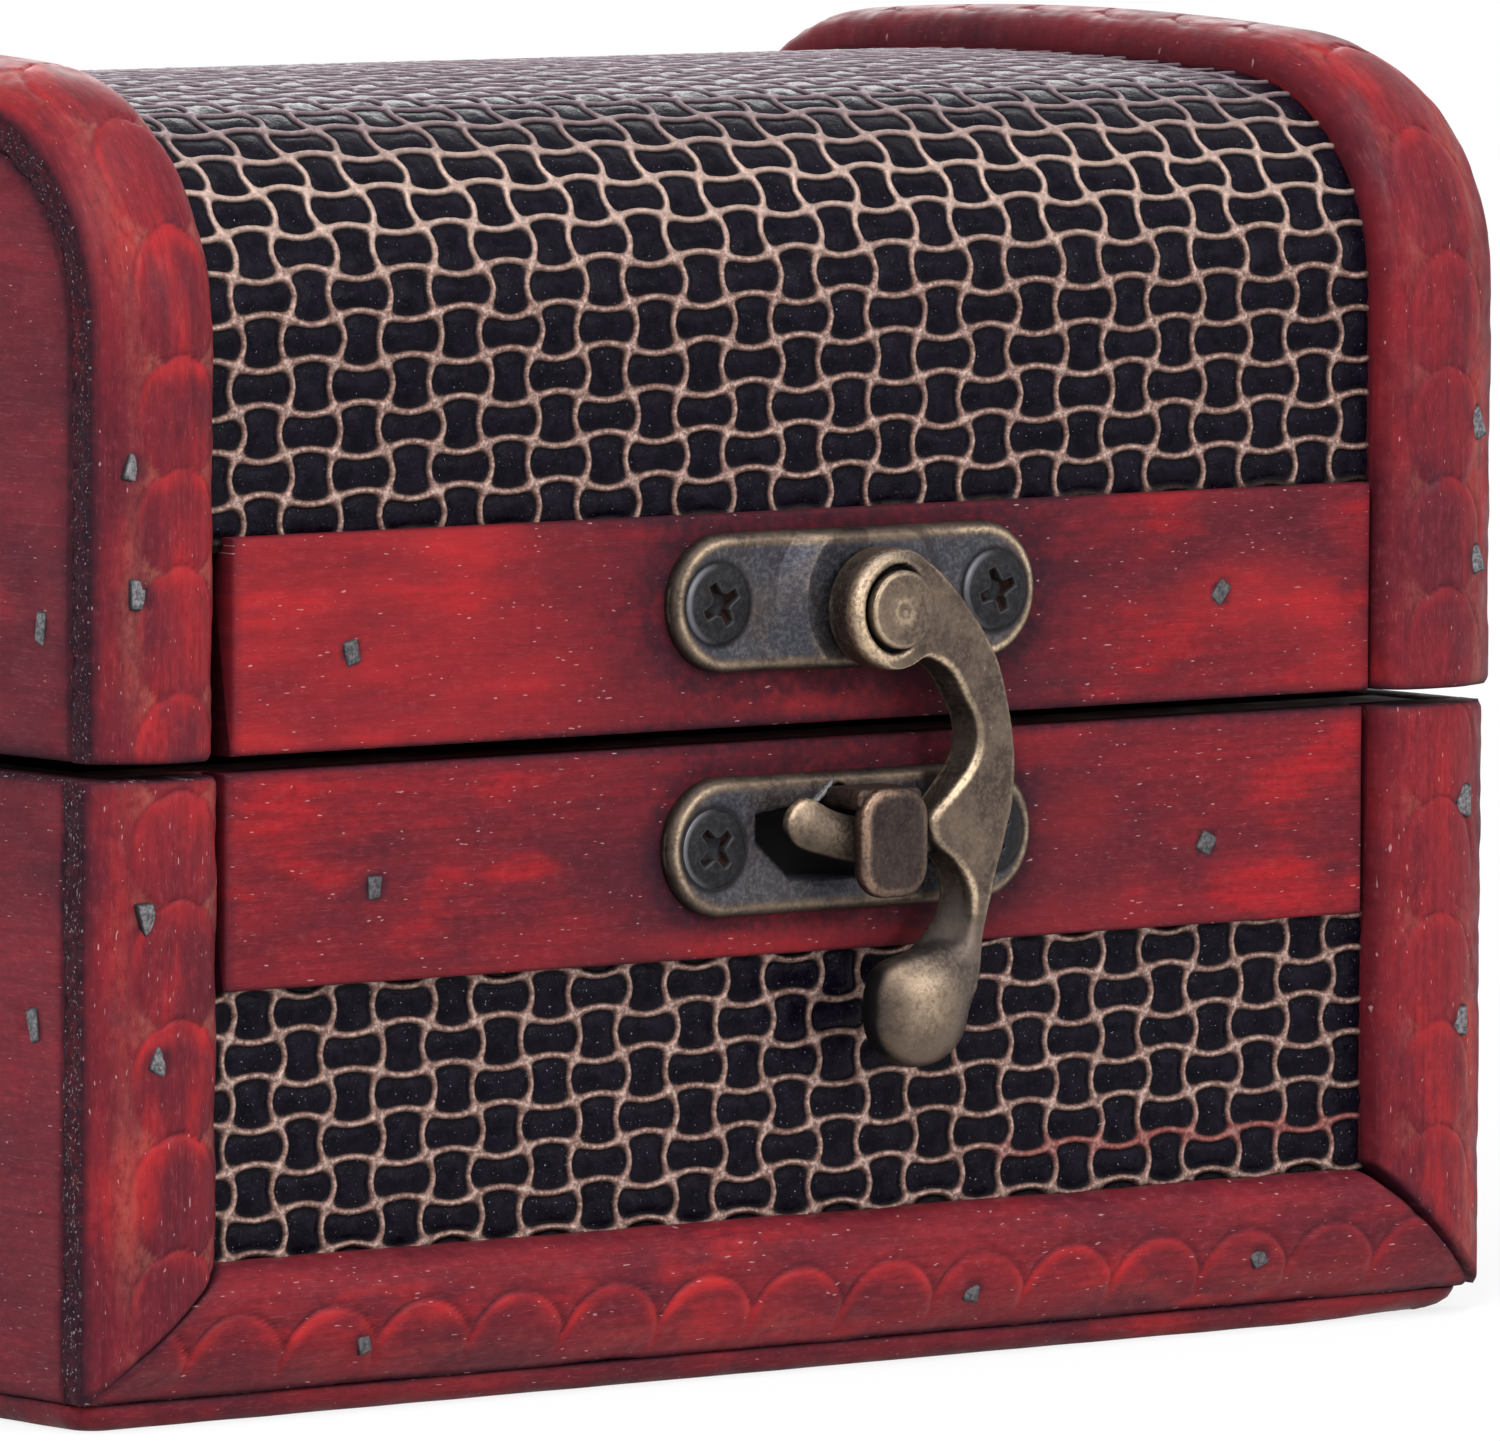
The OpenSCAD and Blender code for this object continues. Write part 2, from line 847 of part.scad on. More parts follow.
// The hook without its prong; beside and below the catch's head it keeps clear of the head
module hook_outline() {
    prong_mid_z = -(prong_in_r + prong_out_r) / 2;
    waist_x = arm_out_x + arm_out_r;
    waist_top = arm_out_z - prong_w / 2;
    waist_foot = tail_z + prong_w / 2;
    circle(r = hub_r);
    polygon([
        [0, 0],
        [hub_r * cos(shoulder_angle), hub_r * sin(shoulder_angle)],
        [arm_out_x + arm_out_r * cos(shoulder_angle), arm_out_z + arm_out_r * sin(shoulder_angle)]
    ]);
    ring_part(arm_out_x, arm_out_z, arm_out_r, 0)
        difference() {
            translate([0, prong_mid_z]) square([arm_out_r, hub_r - prong_mid_z]);
            translate([arm_in_x, arm_in_z]) circle(r = arm_in_r);
            translate([0, prong_mid_z]) square([head_side_x, head_top_z - prong_mid_z]);
        }
    ring_part(tail_x, tail_z, tail_out_r, tail_in_r)
        polygon([
            [tail_x, tail_z],
            [tail_x + tail_out_r * cos(tail_end_angle), tail_z + tail_out_r * sin(tail_end_angle)],
            [tail_x + tail_out_r, tail_z - tail_out_r],
            [tail_x + tail_out_r, prong_mid_z],
            [head_side_x, prong_mid_z],
            [head_side_x, tail_z]
        ]);
    polygon([
        [waist_x - prong_w, waist_top],
        [waist_x - waist_inset, waist_top],
        [waist_x - 2 * waist_inset, prong_mid_z + prong_w / 2],
        [tail_x + tail_out_r - waist_inset / 2, waist_foot],
        [tail_x + tail_in_r + waist_inset, waist_foot]
    ]);
}

module prong_outline() {
    prong_mid_r = (prong_in_r + prong_out_r) / 2;
    ring_part(0, 0, prong_out_r, prong_in_r)
        polygon([
            [0, 0],
            [-prong_out_r * 2 * sin(prong_tip_angle), -prong_out_r * 2 * cos(prong_tip_angle)],
            [tail_x + tail_in_r, -prong_out_r * 2],
            [tail_x + tail_in_r, 0]
        ]);
    translate([-prong_mid_r * sin(prong_tip_angle), -prong_mid_r * cos(prong_tip_angle)])
        circle(r = prong_w / 2);
}

module swing_hook() {
    color(brass) on_front_rail(pivot_x, pivot_z) difference() {
        union() {
            translate([0, 0, hook_back]) linear_extrude(hook_t) hook_outline();
            translate([0, 0, hook_back]) linear_extrude(prong_t) prong_outline();
            intersection() {
                translate([knob_x, knob_z, (knob_front + knob_back) / 2]) sphere(r = knob_r);
                block([-arm_out_r, tail_z - 2 * tail_out_r, knob_back],
                    [arm_out_r * 2, tail_z, knob_front]);
            }
        }
        cylinder(r = rivet_r + running_fit, h = hook_front + overrun);
    }
}

module rounded_plate(half_w, low, high, r) {
    translate([-half_w + r, low]) square([2 * (half_w - r), high - low]);
    translate([-half_w, low + r]) square([2 * half_w, high - low - 2 * r]);
    for (x = [r - half_w, half_w - r], y = [low + r, high - r]) {
        translate([x, y]) circle(r = r);
    }
}

module catch_plate() {
    head_top = stem_over_plate + stem_drop + head_over_stem;
    color(brass) on_front_rail(catch_x, catch_z) {
        difference() {
            latch_plate_blank();
            block([-window_half_l, -window_below, -overrun],
                [window_half_l, stem_over_plate, plate_t + overrun]);
            latch_screw_holes();
        }
        block([-head_w / 2, stem_over_plate, 0],
            [head_w / 2, stem_over_plate + stem_drop, head_back + head_t / 2]);
        translate([0, 0, head_back]) linear_extrude(head_t)
            rounded_plate(head_w / 2, head_top - head_l, head_top, head_corner_r);
    }
}

module catch_plate_screws() {
    color(screw_color) on_front_rail(catch_x, catch_z) latch_screws();
}

// Hinges: in a hinge's frame x runs along the pin, y away from it over the leaf, z out of the rail

module along_pin(r, from_x, to_x) {
    translate([from_x, 0, axis_out]) rotate([0, 90, 0]) cylinder(r = r, h = to_x - from_x);
}

module knuckle(from_x, to_x) {
    along_pin(knuckle_r, from_x, to_x);
    block([from_x, 0, neck_back], [to_x, leaf_start + neck_overlap, neck_front]);
}

module leaf_plate() {
    linear_extrude(leaf_t)
        rounded_plate(hinge_w / 2, leaf_start, leaf_start + leaf_h, leaf_corner_r);
}

module base_leaf() {
    inner = middle_knuckle_l / 2 + knuckle_gap;
    difference() {
        union() {
            leaf_plate();
            knuckle(-hinge_w / 2, -inner);
            knuckle(inner, hinge_w / 2);
        }
        along_pin(pin_r + fixed_fit, -hinge_w, hinge_w);
        hinge_screw_holes();
    }
}

module lid_leaf() {
    difference() {
        union() {
            leaf_plate();
            knuckle(-middle_knuckle_l / 2, middle_knuckle_l / 2);
        }
        along_pin(pin_r + running_fit, -hinge_w, hinge_w);
        hinge_screw_holes();
    }
}

module left_hinge_base_leaf() {
    color(brass) at_hinge(-1, -1) base_leaf();
}

module left_hinge_lid_leaf() {
    color(brass) at_hinge(-1, 1) lid_leaf();
}

module left_hinge_pin() {
    color(brass) at_hinge(-1, 1) along_pin(pin_r, -hinge_w / 2, hinge_w / 2);
}

module right_hinge_base_leaf() {
    color(brass) at_hinge(1, -1) base_leaf();
}

module right_hinge_lid_leaf() {
    color(brass) at_hinge(1, 1) lid_leaf();
}

module right_hinge_pin() {
    color(brass) at_hinge(1, 1) along_pin(pin_r, -hinge_w / 2, hinge_w / 2);
}

module hinge_base_screws() {
    color(brass) for (side = [-1, 1]) {
        at_hinge(side, -1) hinge_screws();
    }
}

module hinge_lid_screws() {
    color(brass) for (side = [-1, 1]) {
        at_hinge(side, 1) hinge_screws();
    }
}

base_bottom_board();
base_left_end();
base_right_end();
base_front_board();
base_back_board();
base_front_covering();
base_back_covering();
base_front_rail();
base_back_rail();
base_front_left_moulding();
base_front_right_moulding();
base_front_bottom_moulding();
base_back_left_moulding();
base_back_right_moulding();
base_back_bottom_moulding();
base_brads();
lid_left_end();
lid_right_end();
lid_front_board();
lid_back_board();
lid_top_sheet();
lid_covering();
lid_front_rail();
lid_back_rail();
lid_left_moulding();
lid_right_moulding();
lid_brads();
hook_plate();
hook_plate_screws();
hook_rivet();
swing_hook();
catch_plate();
catch_plate_screws();
left_hinge_base_leaf();
left_hinge_lid_leaf();
left_hinge_pin();
right_hinge_base_leaf();
right_hinge_lid_leaf();
right_hinge_pin();
hinge_base_screws();
hinge_lid_screws();
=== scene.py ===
"""Looks of the small wooden storage box: stained mouldings, lattice covering, brass latch."""

import math

import bpy
import numpy as np
from mathutils import Matrix, Vector


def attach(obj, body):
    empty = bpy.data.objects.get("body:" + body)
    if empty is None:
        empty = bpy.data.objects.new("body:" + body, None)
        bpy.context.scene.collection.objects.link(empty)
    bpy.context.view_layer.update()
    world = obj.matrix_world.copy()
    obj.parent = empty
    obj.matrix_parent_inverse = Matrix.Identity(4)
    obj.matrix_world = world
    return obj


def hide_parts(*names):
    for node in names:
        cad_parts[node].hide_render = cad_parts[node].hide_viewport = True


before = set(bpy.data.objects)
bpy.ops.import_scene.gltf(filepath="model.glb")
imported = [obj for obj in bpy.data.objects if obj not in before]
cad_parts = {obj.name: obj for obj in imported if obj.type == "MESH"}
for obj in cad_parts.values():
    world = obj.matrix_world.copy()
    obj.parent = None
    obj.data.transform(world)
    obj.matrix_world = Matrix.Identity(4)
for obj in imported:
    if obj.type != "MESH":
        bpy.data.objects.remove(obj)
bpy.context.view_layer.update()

MM = 0.001

# The CAD model's sizes, in millimetres
HALF_W = 55.0
HALF_D = 32.0
BOTTOM_T = 1.6
BASE_H = 38.7
LID_Z = 39.7
LID_SHIFT = 0.5
LID_SIDE_H = 25.0
SHOULDER_R = 13.0
CROWN_R = 280.0
BOARD_T = 4.0
COVERING_T = 1.2
TRIM_W = 9.5
BOTTOM_TRIM_W = 8.0
TRIM_RISE = 2.9
TRIM_EDGE_RISE = 0.9
TRIM_EASE_R = 2.2
TRIM_CROWN_SHARE = 0.63
MITRE_GAP = 0.75
RAIL_H = 13.0
RAIL_RISE = 1.2
RAIL_END_GAP = 0.8
LID_LEFT_TRIM_W = 8.6
LID_RIGHT_TRIM_W = 9.8
PLATE_L = 28.6
PLATE_W = 8.5
PLATE_T = 1.0
CATCH = (2.6, 32.5)
HOOK_PLATE = (2.8, 47.35)
PIVOT = (3.1, 46.8)
SCREW_PITCH = 21.8
SCREW_R = 2.5

OPEN_HALF_W = HALF_W - TRIM_W
RAIL_HALF_L = OPEN_HALF_W - RAIL_END_GAP
SHOULDER_Z = LID_Z + LID_SIDE_H
SHOULDER_Y = HALF_D - SHOULDER_R
CROWN_HALF = math.asin(SHOULDER_Y / (CROWN_R - SHOULDER_R))
CROWN_Z = SHOULDER_Z - (CROWN_R - SHOULDER_R) * math.cos(CROWN_HALF)
SHOULDER_TURN = math.pi / 2 - CROWN_HALF
LID_PATH_L = 2 * (LID_SIDE_H + SHOULDER_R * SHOULDER_TURN + CROWN_R * CROWN_HALF)
RAIL_FACE = HALF_D + RAIL_RISE

SHIFT = {"base": 0.0, "lid": LID_SHIFT}
RAIL_Z = {"base": BASE_H - RAIL_H, "lid": LID_Z}
PLATE_ON = {"base": CATCH, "lid": HOOK_PLATE}
SIDES = ((-1, "left"), (1, "right"))
FACES = ((-1, "front"), (1, "back"))
BOARD_APART = 37.0


# Small numeric helpers

def smooth(low, high, value):
    """0 below low, 1 above high, and a smooth step between."""
    t = np.clip((value - low) / (high - low), 0.0, 1.0)
    return t * t * (3.0 - 2.0 * t)


def bump(distance, width):
    """1 at distance 0, falling off like a bell of that width."""
    return np.exp(-(distance / width) ** 2)


def waves(points, scale, seed, count=7):
    """Smooth seeded unevenness, about -1 to 1, whose features are about scale across."""
    rng = np.random.default_rng(seed)
    total = np.zeros(points.shape[:-1])
    for _ in range(count):
        direction = rng.normal(size=3)
        direction /= np.linalg.norm(direction)
        length = scale * rng.uniform(0.6, 1.7)
        total += np.sin(points @ direction * (2.0 * math.pi / length) + rng.uniform(0.0, 7.0))
    return total / math.sqrt(count)


def xyz(x, y, z):
    """Points from three coordinates, each an array or one number."""
    return np.stack(np.broadcast_arrays(x, y, z), -1)


def padded(values, extra, fill=0.0):
    """Values over a piece's face, with more columns for the rest of its rings."""
    return np.pad(values, ((0, 0), (0, extra)), constant_values=fill)


def grain_at(along, across, seed, depth=0.0):
    """Where each point lies in its board, along and across the grain."""
    return xyz(along, across, seed * BOARD_APART + depth)


def round_corners(half_w, low, high, corner, steps):
    """The corners' centres and outward directions, all round an outline with round corners."""
    quarter = np.linspace(0, 90, steps)
    turn = np.radians(np.concatenate([start + quarter for start in (0, 90, 180, 270)]))
    x = np.repeat([half_w - corner, corner - half_w, corner - half_w, half_w - corner], steps)
    y = np.repeat([high - corner, high - corner, low + corner, low + corner], steps)
    return np.stack([x, y], -1), np.stack([np.cos(turn), np.sin(turn)], -1)


# Meshes

def make_object(name, shape, material, marks):
    """A mesh of (points in millimetres, faces); marks are what the material reads at each point.

    A mark is one number from 0 to 1 per point, but grain is three.
    """
    verts, faces = shape
    mesh = bpy.data.meshes.new(name)
    mesh.from_pydata((np.asarray(verts, float) * MM).tolist(), [], faces)
    for key, values in marks.items():
        kind, field = ("FLOAT_VECTOR", "vector") if key == "grain" else ("FLOAT", "value")
        values = values if key == "grain" else np.clip(values, 0, 1)
        data = mesh.attributes.new(key, kind, "POINT").data
        data.foreach_set(field, np.asarray(values, np.float32).ravel())
    mesh.validate()
    mesh.update()
    mesh.polygons.foreach_set("use_smooth", [True] * len(mesh.polygons))
    mesh.materials.append(material)
    thing = bpy.data.objects.new(name, mesh)
    bpy.context.scene.collection.objects.link(thing)
    return thing


def fix_normals(thing):
    """Turns every face of a closed mesh outwards."""
    import bmesh
    work = bmesh.new()
    work.from_mesh(thing.data)
    bmesh.ops.recalc_face_normals(work, faces=work.faces)
    work.to_mesh(thing.data)
    work.free()


def add_piece(name, shape, material, body, slot, node, crisp_angle=None, **marks):
    """A piece that stands for a CAD node, from rings to loft or from points and faces."""
    thing = make_object(name, shape if isinstance(shape, tuple) else loft(shape), material, marks)
    if crisp_angle:
        thing.data.set_sharp_from_angle(angle=math.radians(crisp_angle))
    fix_normals(thing)
    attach(thing, body)
    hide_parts(node)


def loft(rings, caps=True):
    """Points and faces of a tube through closed rings, an array of (rings, points, 3)."""
    count, around = rings.shape[:2]
    faces = []
    for i in range(0, (count - 1) * around, around):
        for j in range(around):
            k = (j + 1) % around
            faces.append([i + j, i + k, i + around + k, i + around + j])
    if caps:
        faces.append(list(range(around))[::-1])
        faces.append(list(range((count - 1) * around, count * around)))
    return rings.reshape(-1, 3), faces


def lathe(profile, segments=64):
    """Points and faces of a closed profile of (radius, height) turned round the z axis."""
    radius, height = np.array(profile, float).T
    turn = np.linspace(0.0, 2.0 * math.pi, segments, endpoint=False)[:, None]
    rings = xyz(radius * np.cos(turn), radius * np.sin(turn), height)
    verts, faces = loft(np.concatenate([rings, rings[:1]]), caps=False)
    size = segments * len(profile)
    return verts[:size], [[index % size for index in face] for face in faces]


def ellipsoid(centre, radii, rows=28, around=48):
    lat = np.linspace(-math.pi / 2 + 0.02, math.pi / 2 - 0.02, rows)[:, None]
    lon = np.linspace(0, 2 * math.pi, around, endpoint=False)
    rings = xyz(np.cos(lat) * np.cos(lon), np.cos(lat) * np.sin(lon), np.sin(lat))
    return rings * radii + centre


def merged(parts):
    """Several (points, faces) as one."""
    verts, faces, offset = [], [], 0
    for part_verts, part_faces in parts:
        verts.append(part_verts)
        faces += [[index + offset for index in face] for face in part_faces]
        offset += len(part_verts)
    return np.concatenate(verts), faces


def on_front(points, at):
    """Latch points (right, up, out) put on the front rail's face at (x, z)."""
    points = np.asarray(points, float)
    return xyz(points[..., 0] + at[0], -RAIL_FACE - points[..., 2], points[..., 1] + at[1])


# Materials

class Shader:
    """A node tree under construction: calls add nodes, and sockets link as they are passed."""

    def __init__(self, owner):
        owner.use_nodes = True
        self.owner = owner
        self.tree = owner.node_tree
        self.tree.nodes.clear()

    def node(self, kind, settings=None, **inputs):
        node = self.tree.nodes.new("ShaderNode" + kind)
        for key, value in (settings or {}).items():
            setattr(node, key, value)
        for key, value in inputs.items():
            self.set(node.inputs[key.replace("_", " ")], value)
        return node

    def set(self, socket, value):
        if isinstance(value, bpy.types.NodeSocket):
            self.tree.links.new(value, socket)
        else:
            socket.default_value = value

    def math(self, operation, *values, clamp=False):
        node = self.node("Math", {"operation": operation, "use_clamp": clamp})
        for socket, value in zip(node.inputs, values):
            self.set(socket, value)
        return node.outputs[0]

    def times(self, first, second, clamp=False):
        return self.math("MULTIPLY", first, second, clamp=clamp)

    def plus(self, first, second, clamp=False):
        return self.math("ADD", first, second, clamp=clamp)

    def mix(self, factor, first, second):
        node = self.node("Mix", {"data_type": "RGBA"})
        for index, value in ((0, factor), (6, first), (7, second)):
            self.set(node.inputs[index], (*value, 1.0) if isinstance(value, tuple) else value)
        return node.outputs[2]

    def step(self, value, low, high, to_low=0.0, to_high=1.0):
        node = self.node("MapRange", {"interpolation_type": "SMOOTHSTEP"})
        for index, number in enumerate((value, low, high, to_low, to_high)):
            self.set(node.inputs[index], number)
        return node.outputs[0]

    def layered(self, colour, *layers):
        """Lays (value, low, high, most, colour) over a colour: most of it where value is high."""
        for value, low, high, most, over in layers:
            colour = self.mix(self.step(value, low, high, 0.0, most), colour, over)
        return colour

    def noise(self, vector, scale, detail=2.0, roughness=0.5):
        return self.node("TexNoise", Vector=vector, Scale=scale, Detail=detail,
                         Roughness=roughness).outputs[0]

    def mark(self, name, output="Fac"):
        return self.node("Attribute", {"attribute_name": name}).outputs[output]

    def stretched(self, vector, scale):
        return self.node("Mapping", Vector=vector, Scale=scale).outputs[0]

    def place_mm(self):
        place = self.node("TexCoord").outputs["Object"]
        return self.stretched(place, (1.0 / MM,) * 3)

    def mix_shaders(self, share, first, second):
        mixed = self.node("MixShader", Fac=share)
        self.set(mixed.inputs[1], first.outputs[0])
        self.set(mixed.inputs[2], second.outputs[0])
        return mixed.outputs[0]

    def finish(self, colour, roughness, height, bump_mm, specular, metal=0.0):
        """Ends the tree in one Principled shader, with a bump of about bump_mm."""
        relief = self.node("Bump", Strength=1.0, Distance=bump_mm * MM, Height=height)
        shader = self.node("BsdfPrincipled", Base_Color=colour, Roughness=roughness,
                           Metallic=metal, Specular_IOR_Level=specular, Normal=relief.outputs[0])
        self.node("OutputMaterial", Surface=shader.outputs[0])
        return self.owner


def new_shader(name):
    return Shader(bpy.data.materials.new(name))


def wood(name, deep, middle, bright, grime=1.0, marked=True):
    """Stained, lacquered wood: blotchy stain, fine short strokes of grain, dark joints and painted
    shade where marked dark, painted highlights where marked tip, and a pale band of wear and
    painted sheen.

    A piece without marks has its grain along x.
    """
    s = new_shader(name)
    grain = s.mark("grain", "Vector") if marked else s.place_mm()

    def fleck(along, across, detail, roughness=0.6):
        return s.noise(s.stretched(grain, (along, across, across)), 1.0, detail, roughness)

    patch, streak, fibre = fleck(0.09, 0.24, 3.0), fleck(0.13, 2.4, 3.0), fleck(0.75, 9.0, 2.0)
    mottle = fleck(1.3, 2.4, 4.0, 0.7)
    pale = (middle[0] * 1.35 + 0.03, middle[1] * 2.2 + 0.035, middle[2] * 2.0 + 0.035)
    colour = s.layered(
        deep,
        (fleck(0.055, 0.13, 4.0), 0.36, 0.62, 1.0, middle),
        (patch, 0.50, 0.72, 0.75, bright),
        (streak, 0.38, 0.68, 0.32, tuple(0.5 * c for c in deep)),
        (fibre, 0.56, 0.80, 0.45, pale),
        (mottle, 0.50, 0.30, 0.35, tuple(0.4 * c for c in deep)),
        (mottle, 0.52, 0.74, 0.25, pale),
        (fleck(0.20, 0.28, 5.0, 0.7), 0.58, 0.78, 0.55 * grime, (0.035, 0.010, 0.020)),
    )
    # Painted highlight: bright red where marked tip, on the carving's lit rims and on the rails.
    lit = s.times(s.mark("tip"), s.step(patch, 0.30, 0.62, 0.25, 0.62))
    colour = s.mix(lit, colour, (0.50, 0.022, 0.022))
    # Pale tan: partly rubbed wear in the notches and on the crests, partly a painted sheen along
    # the mouldings' crests.
    pale_wear_and_sheen = s.times(s.mark("worn"), s.step(mottle, 0.30, 0.62, 0.10, 0.38))
    colour = s.mix(pale_wear_and_sheen, colour, (0.36, 0.115, 0.080))
    # Near-black where marked dark: dark joints and edges, and painted shade in the carved grooves.
    broken = s.step(s.noise(grain, 1.3, 4.0, 0.7), 0.22, 0.68, 0.62, 1.0)
    dark = s.times(s.mark("dark"), broken, clamp=True)
    colour = s.mix(dark, colour, (0.013, 0.006, 0.012))
    chip = s.times(s.step(s.noise(grain, 4.2), 0.63, 0.70), s.step(s.mark("dark"), 0.90, 0.96))
    colour = s.mix(s.times(chip, 0.5), colour, (0.46, 0.42, 0.44))
    colour = s.layered(colour, (fleck(2.0, 6.5, 0.0, 0.5), 0.81, 0.87, 0.36, (0.70, 0.42, 0.42)))
    rough = s.step(s.noise(grain, 0.5, 3.0), 0.3, 0.7, 0.36, 0.52)
    rough = s.plus(rough, s.times(dark, 0.35), clamp=True)
    height = s.plus(s.times(streak, 0.5), s.times(fibre, 0.5))
    return s.finish(colour, rough, height, 0.03, 0.12)


def covering_material():
    """Embossed leatherette: glossy near-black cells and a bronze lattice.

    The lattice has a painted highlight over the lid's shoulders and a painted violet-grey sheen on
    its crown.
    """
    s = new_shader("lattice_covering")
    spot = s.mark("grain", "Vector")
    mottle, rub = s.noise(spot, 0.9, 4.0, 0.7), s.noise(spot, 2.6, 4.0, 0.75)
    # The pale flecks in the cells are painted glints.
    cell = s.layered(
        (0.0020, 0.0013, 0.0040),
        (mottle, 0.35, 0.7, 1.0, (0.0070, 0.0052, 0.0110)),
        (s.noise(spot, 4.6, 2.0, 0.7), 0.68, 0.75, 0.8, (0.26, 0.26, 0.30)),
    )
    wire = s.layered((0.118, 0.061, 0.050), (rub, 0.32, 0.70, 1.0, (0.285, 0.175, 0.143)))
    # Painted highlight: cream on the wires' crests.
    crest = s.times(s.mark("crest"), s.step(rub, 0.40, 0.68, 0.05, 0.52))
    wire = s.mix(crest, wire, (0.70, 0.55, 0.49))
    height_mm = s.node("SeparateXYZ", Vector=s.place_mm()).outputs[2]
    # By height: a painted highlight on the wires over the lid's shoulders and a painted violet-grey
    # sheen on them over its crown.
    on_crown = s.step(height_mm, 73.5, 78.3)
    on_shoulder = s.math("SUBTRACT", s.step(height_mm, 66.0, 73.0), on_crown, clamp=True)
    wire = s.mix(s.times(on_shoulder, 0.36), wire, (0.62, 0.47, 0.40))
    wire = s.mix(s.times(on_crown, 0.70), wire, (0.150, 0.122, 0.160))
    wire = s.mix(s.mark("stain"), wire, (0.20, 0.020, 0.024))
    mask = s.mark("wire")
    # Near-black where marked dark: painted shade in the grooves beside the wires and on the border
    # tucked under the mouldings and rails.
    colour = s.mix(s.mark("dark"), s.mix(mask, cell, wire), (0.004, 0.003, 0.004))
    rough = s.plus(s.times(mask, 0.22), s.step(mottle, 0.3, 0.7, 0.16, 0.30))
    metal = s.times(mask, s.math("MULTIPLY_ADD", on_crown, -0.45, 0.55))
    height = s.plus(mottle, s.times(rub, 0.35))
    return s.finish(colour, rough, height, 0.10, 0.05, metal)


def brass(name, copper=0.0):
    """Antique brass: bronze faces, dark hollows and painted shade, gold on worn edges and painted
    highlights; copper turns it brown.
    """
    s = new_shader(name)
    spot = s.place_mm()
    cloud, fine = s.noise(spot, 0.35, 4.0, 0.65), s.noise(spot, 3.2, 4.0, 0.7)
    face = s.layered((0.060, 0.043, 0.036), (cloud, 0.38, 0.62, 1.0, (0.125, 0.090, 0.068)))
    face = s.mix(copper, face, (0.011, 0.006, 0.010))
    rub = 0.3 if copper else 1.0
    worn = (0.42, 0.27, 0.19) if copper else (0.62, 0.465, 0.315)
    colour = s.layered(face, (fine, 0.42, 0.66, 0.42 * rub, (0.19, 0.140, 0.100)),
                       (fine, 0.66, 0.74, 0.5 * rub, (0.44, 0.34, 0.25)))
    # Gold where marked edge: worn edges and painted highlights.
    edge = s.times(s.mark("edge"), s.step(fine, 0.34, 0.58, 0.35, 1.0), clamp=True)
    colour = s.mix(edge, colour, worn)
    slate = s.times(s.mark("slate"), s.step(cloud, 0.30, 0.55, 0.62, 1.0), clamp=True)
    blue = s.layered((0.040, 0.041, 0.052), (fine, 0.40, 0.72, 1.0, (0.100, 0.098, 0.115)))
    colour = s.mix(slate, colour, blue)
    # Near-black where marked dark: hollows and painted shade.
    dark = s.mark("dark")
    colour = s.mix(dark, colour, (0.006, 0.005, 0.006))
    rough = s.plus(s.step(fine, 0.3, 0.7, 0.34, 0.50), s.times(dark, 0.3), clamp=True)
    return s.finish(colour, rough, fine, 0.035, 0.35, 0.82)


def steel(name, scale, greys, spread, stain, rough, dark_rough, bump_mm, metal, specular):
    """Steel between two greys, pale on marked edges (painted highlights on the screws) and darkened
    to the stain colour where marked dark (painted shade in the screws' recesses).
    """
    s = new_shader(name)
    fine = s.noise(s.place_mm(), scale, 4.0, 0.7)
    colour = s.layered(greys[0], (fine, *spread, 1.0, greys[1]))
    colour = s.mix(s.mark("edge"), colour, (0.20, 0.20, 0.22))
    # The stain colour also stands for painted shade in the screws' recesses.
    dark = s.mark("dark")
    colour = s.mix(dark, colour, stain)
    rough = s.plus(s.step(fine, 0.3, 0.7, *rough), s.times(dark, dark_rough))
    return s.finish(colour, rough, fine, bump_mm, specular, metal)


WOOD_RED = wood("red_moulding_wood", (0.098, 0.009, 0.017), (0.192, 0.012, 0.018),
                (0.340, 0.015, 0.018))
WOOD_RAIL = wood("red_rail_wood", (0.088, 0.008, 0.015), (0.180, 0.009, 0.015),
                 (0.350, 0.009, 0.013))
WOOD_SIDE = wood("maroon_side_wood", (0.105, 0.010, 0.020), (0.160, 0.013, 0.023),
                 (0.225, 0.016, 0.026), grime=0.6)
WOOD_INNER = wood("maroon_inner_wood", (0.085, 0.012, 0.018), (0.135, 0.018, 0.024),
                  (0.19, 0.026, 0.028), grime=0.4, marked=False)
COVERING = covering_material()
BRASS = brass("antique_brass")
COPPER = brass("copper_brown_brass", copper=0.75)
SCREW = steel("black_screw", 3.0, ((0.008, 0.008, 0.009), (0.026, 0.026, 0.030)), (0.4, 0.7),
              (0.020, 0.007, 0.005), (0.40, 0.55), 0.3, 0.03, 0.4, 0.2)
BRAD = steel("brad_steel", 3.5, ((0.050, 0.050, 0.054), (0.215, 0.205, 0.215)), (0.35, 0.65),
             (0.010, 0.006, 0.008), (0.40, 0.60), 0.0, 0.06, 0.35, 0.3)


# Brads: their places are read from the CAD nodes' separate shells

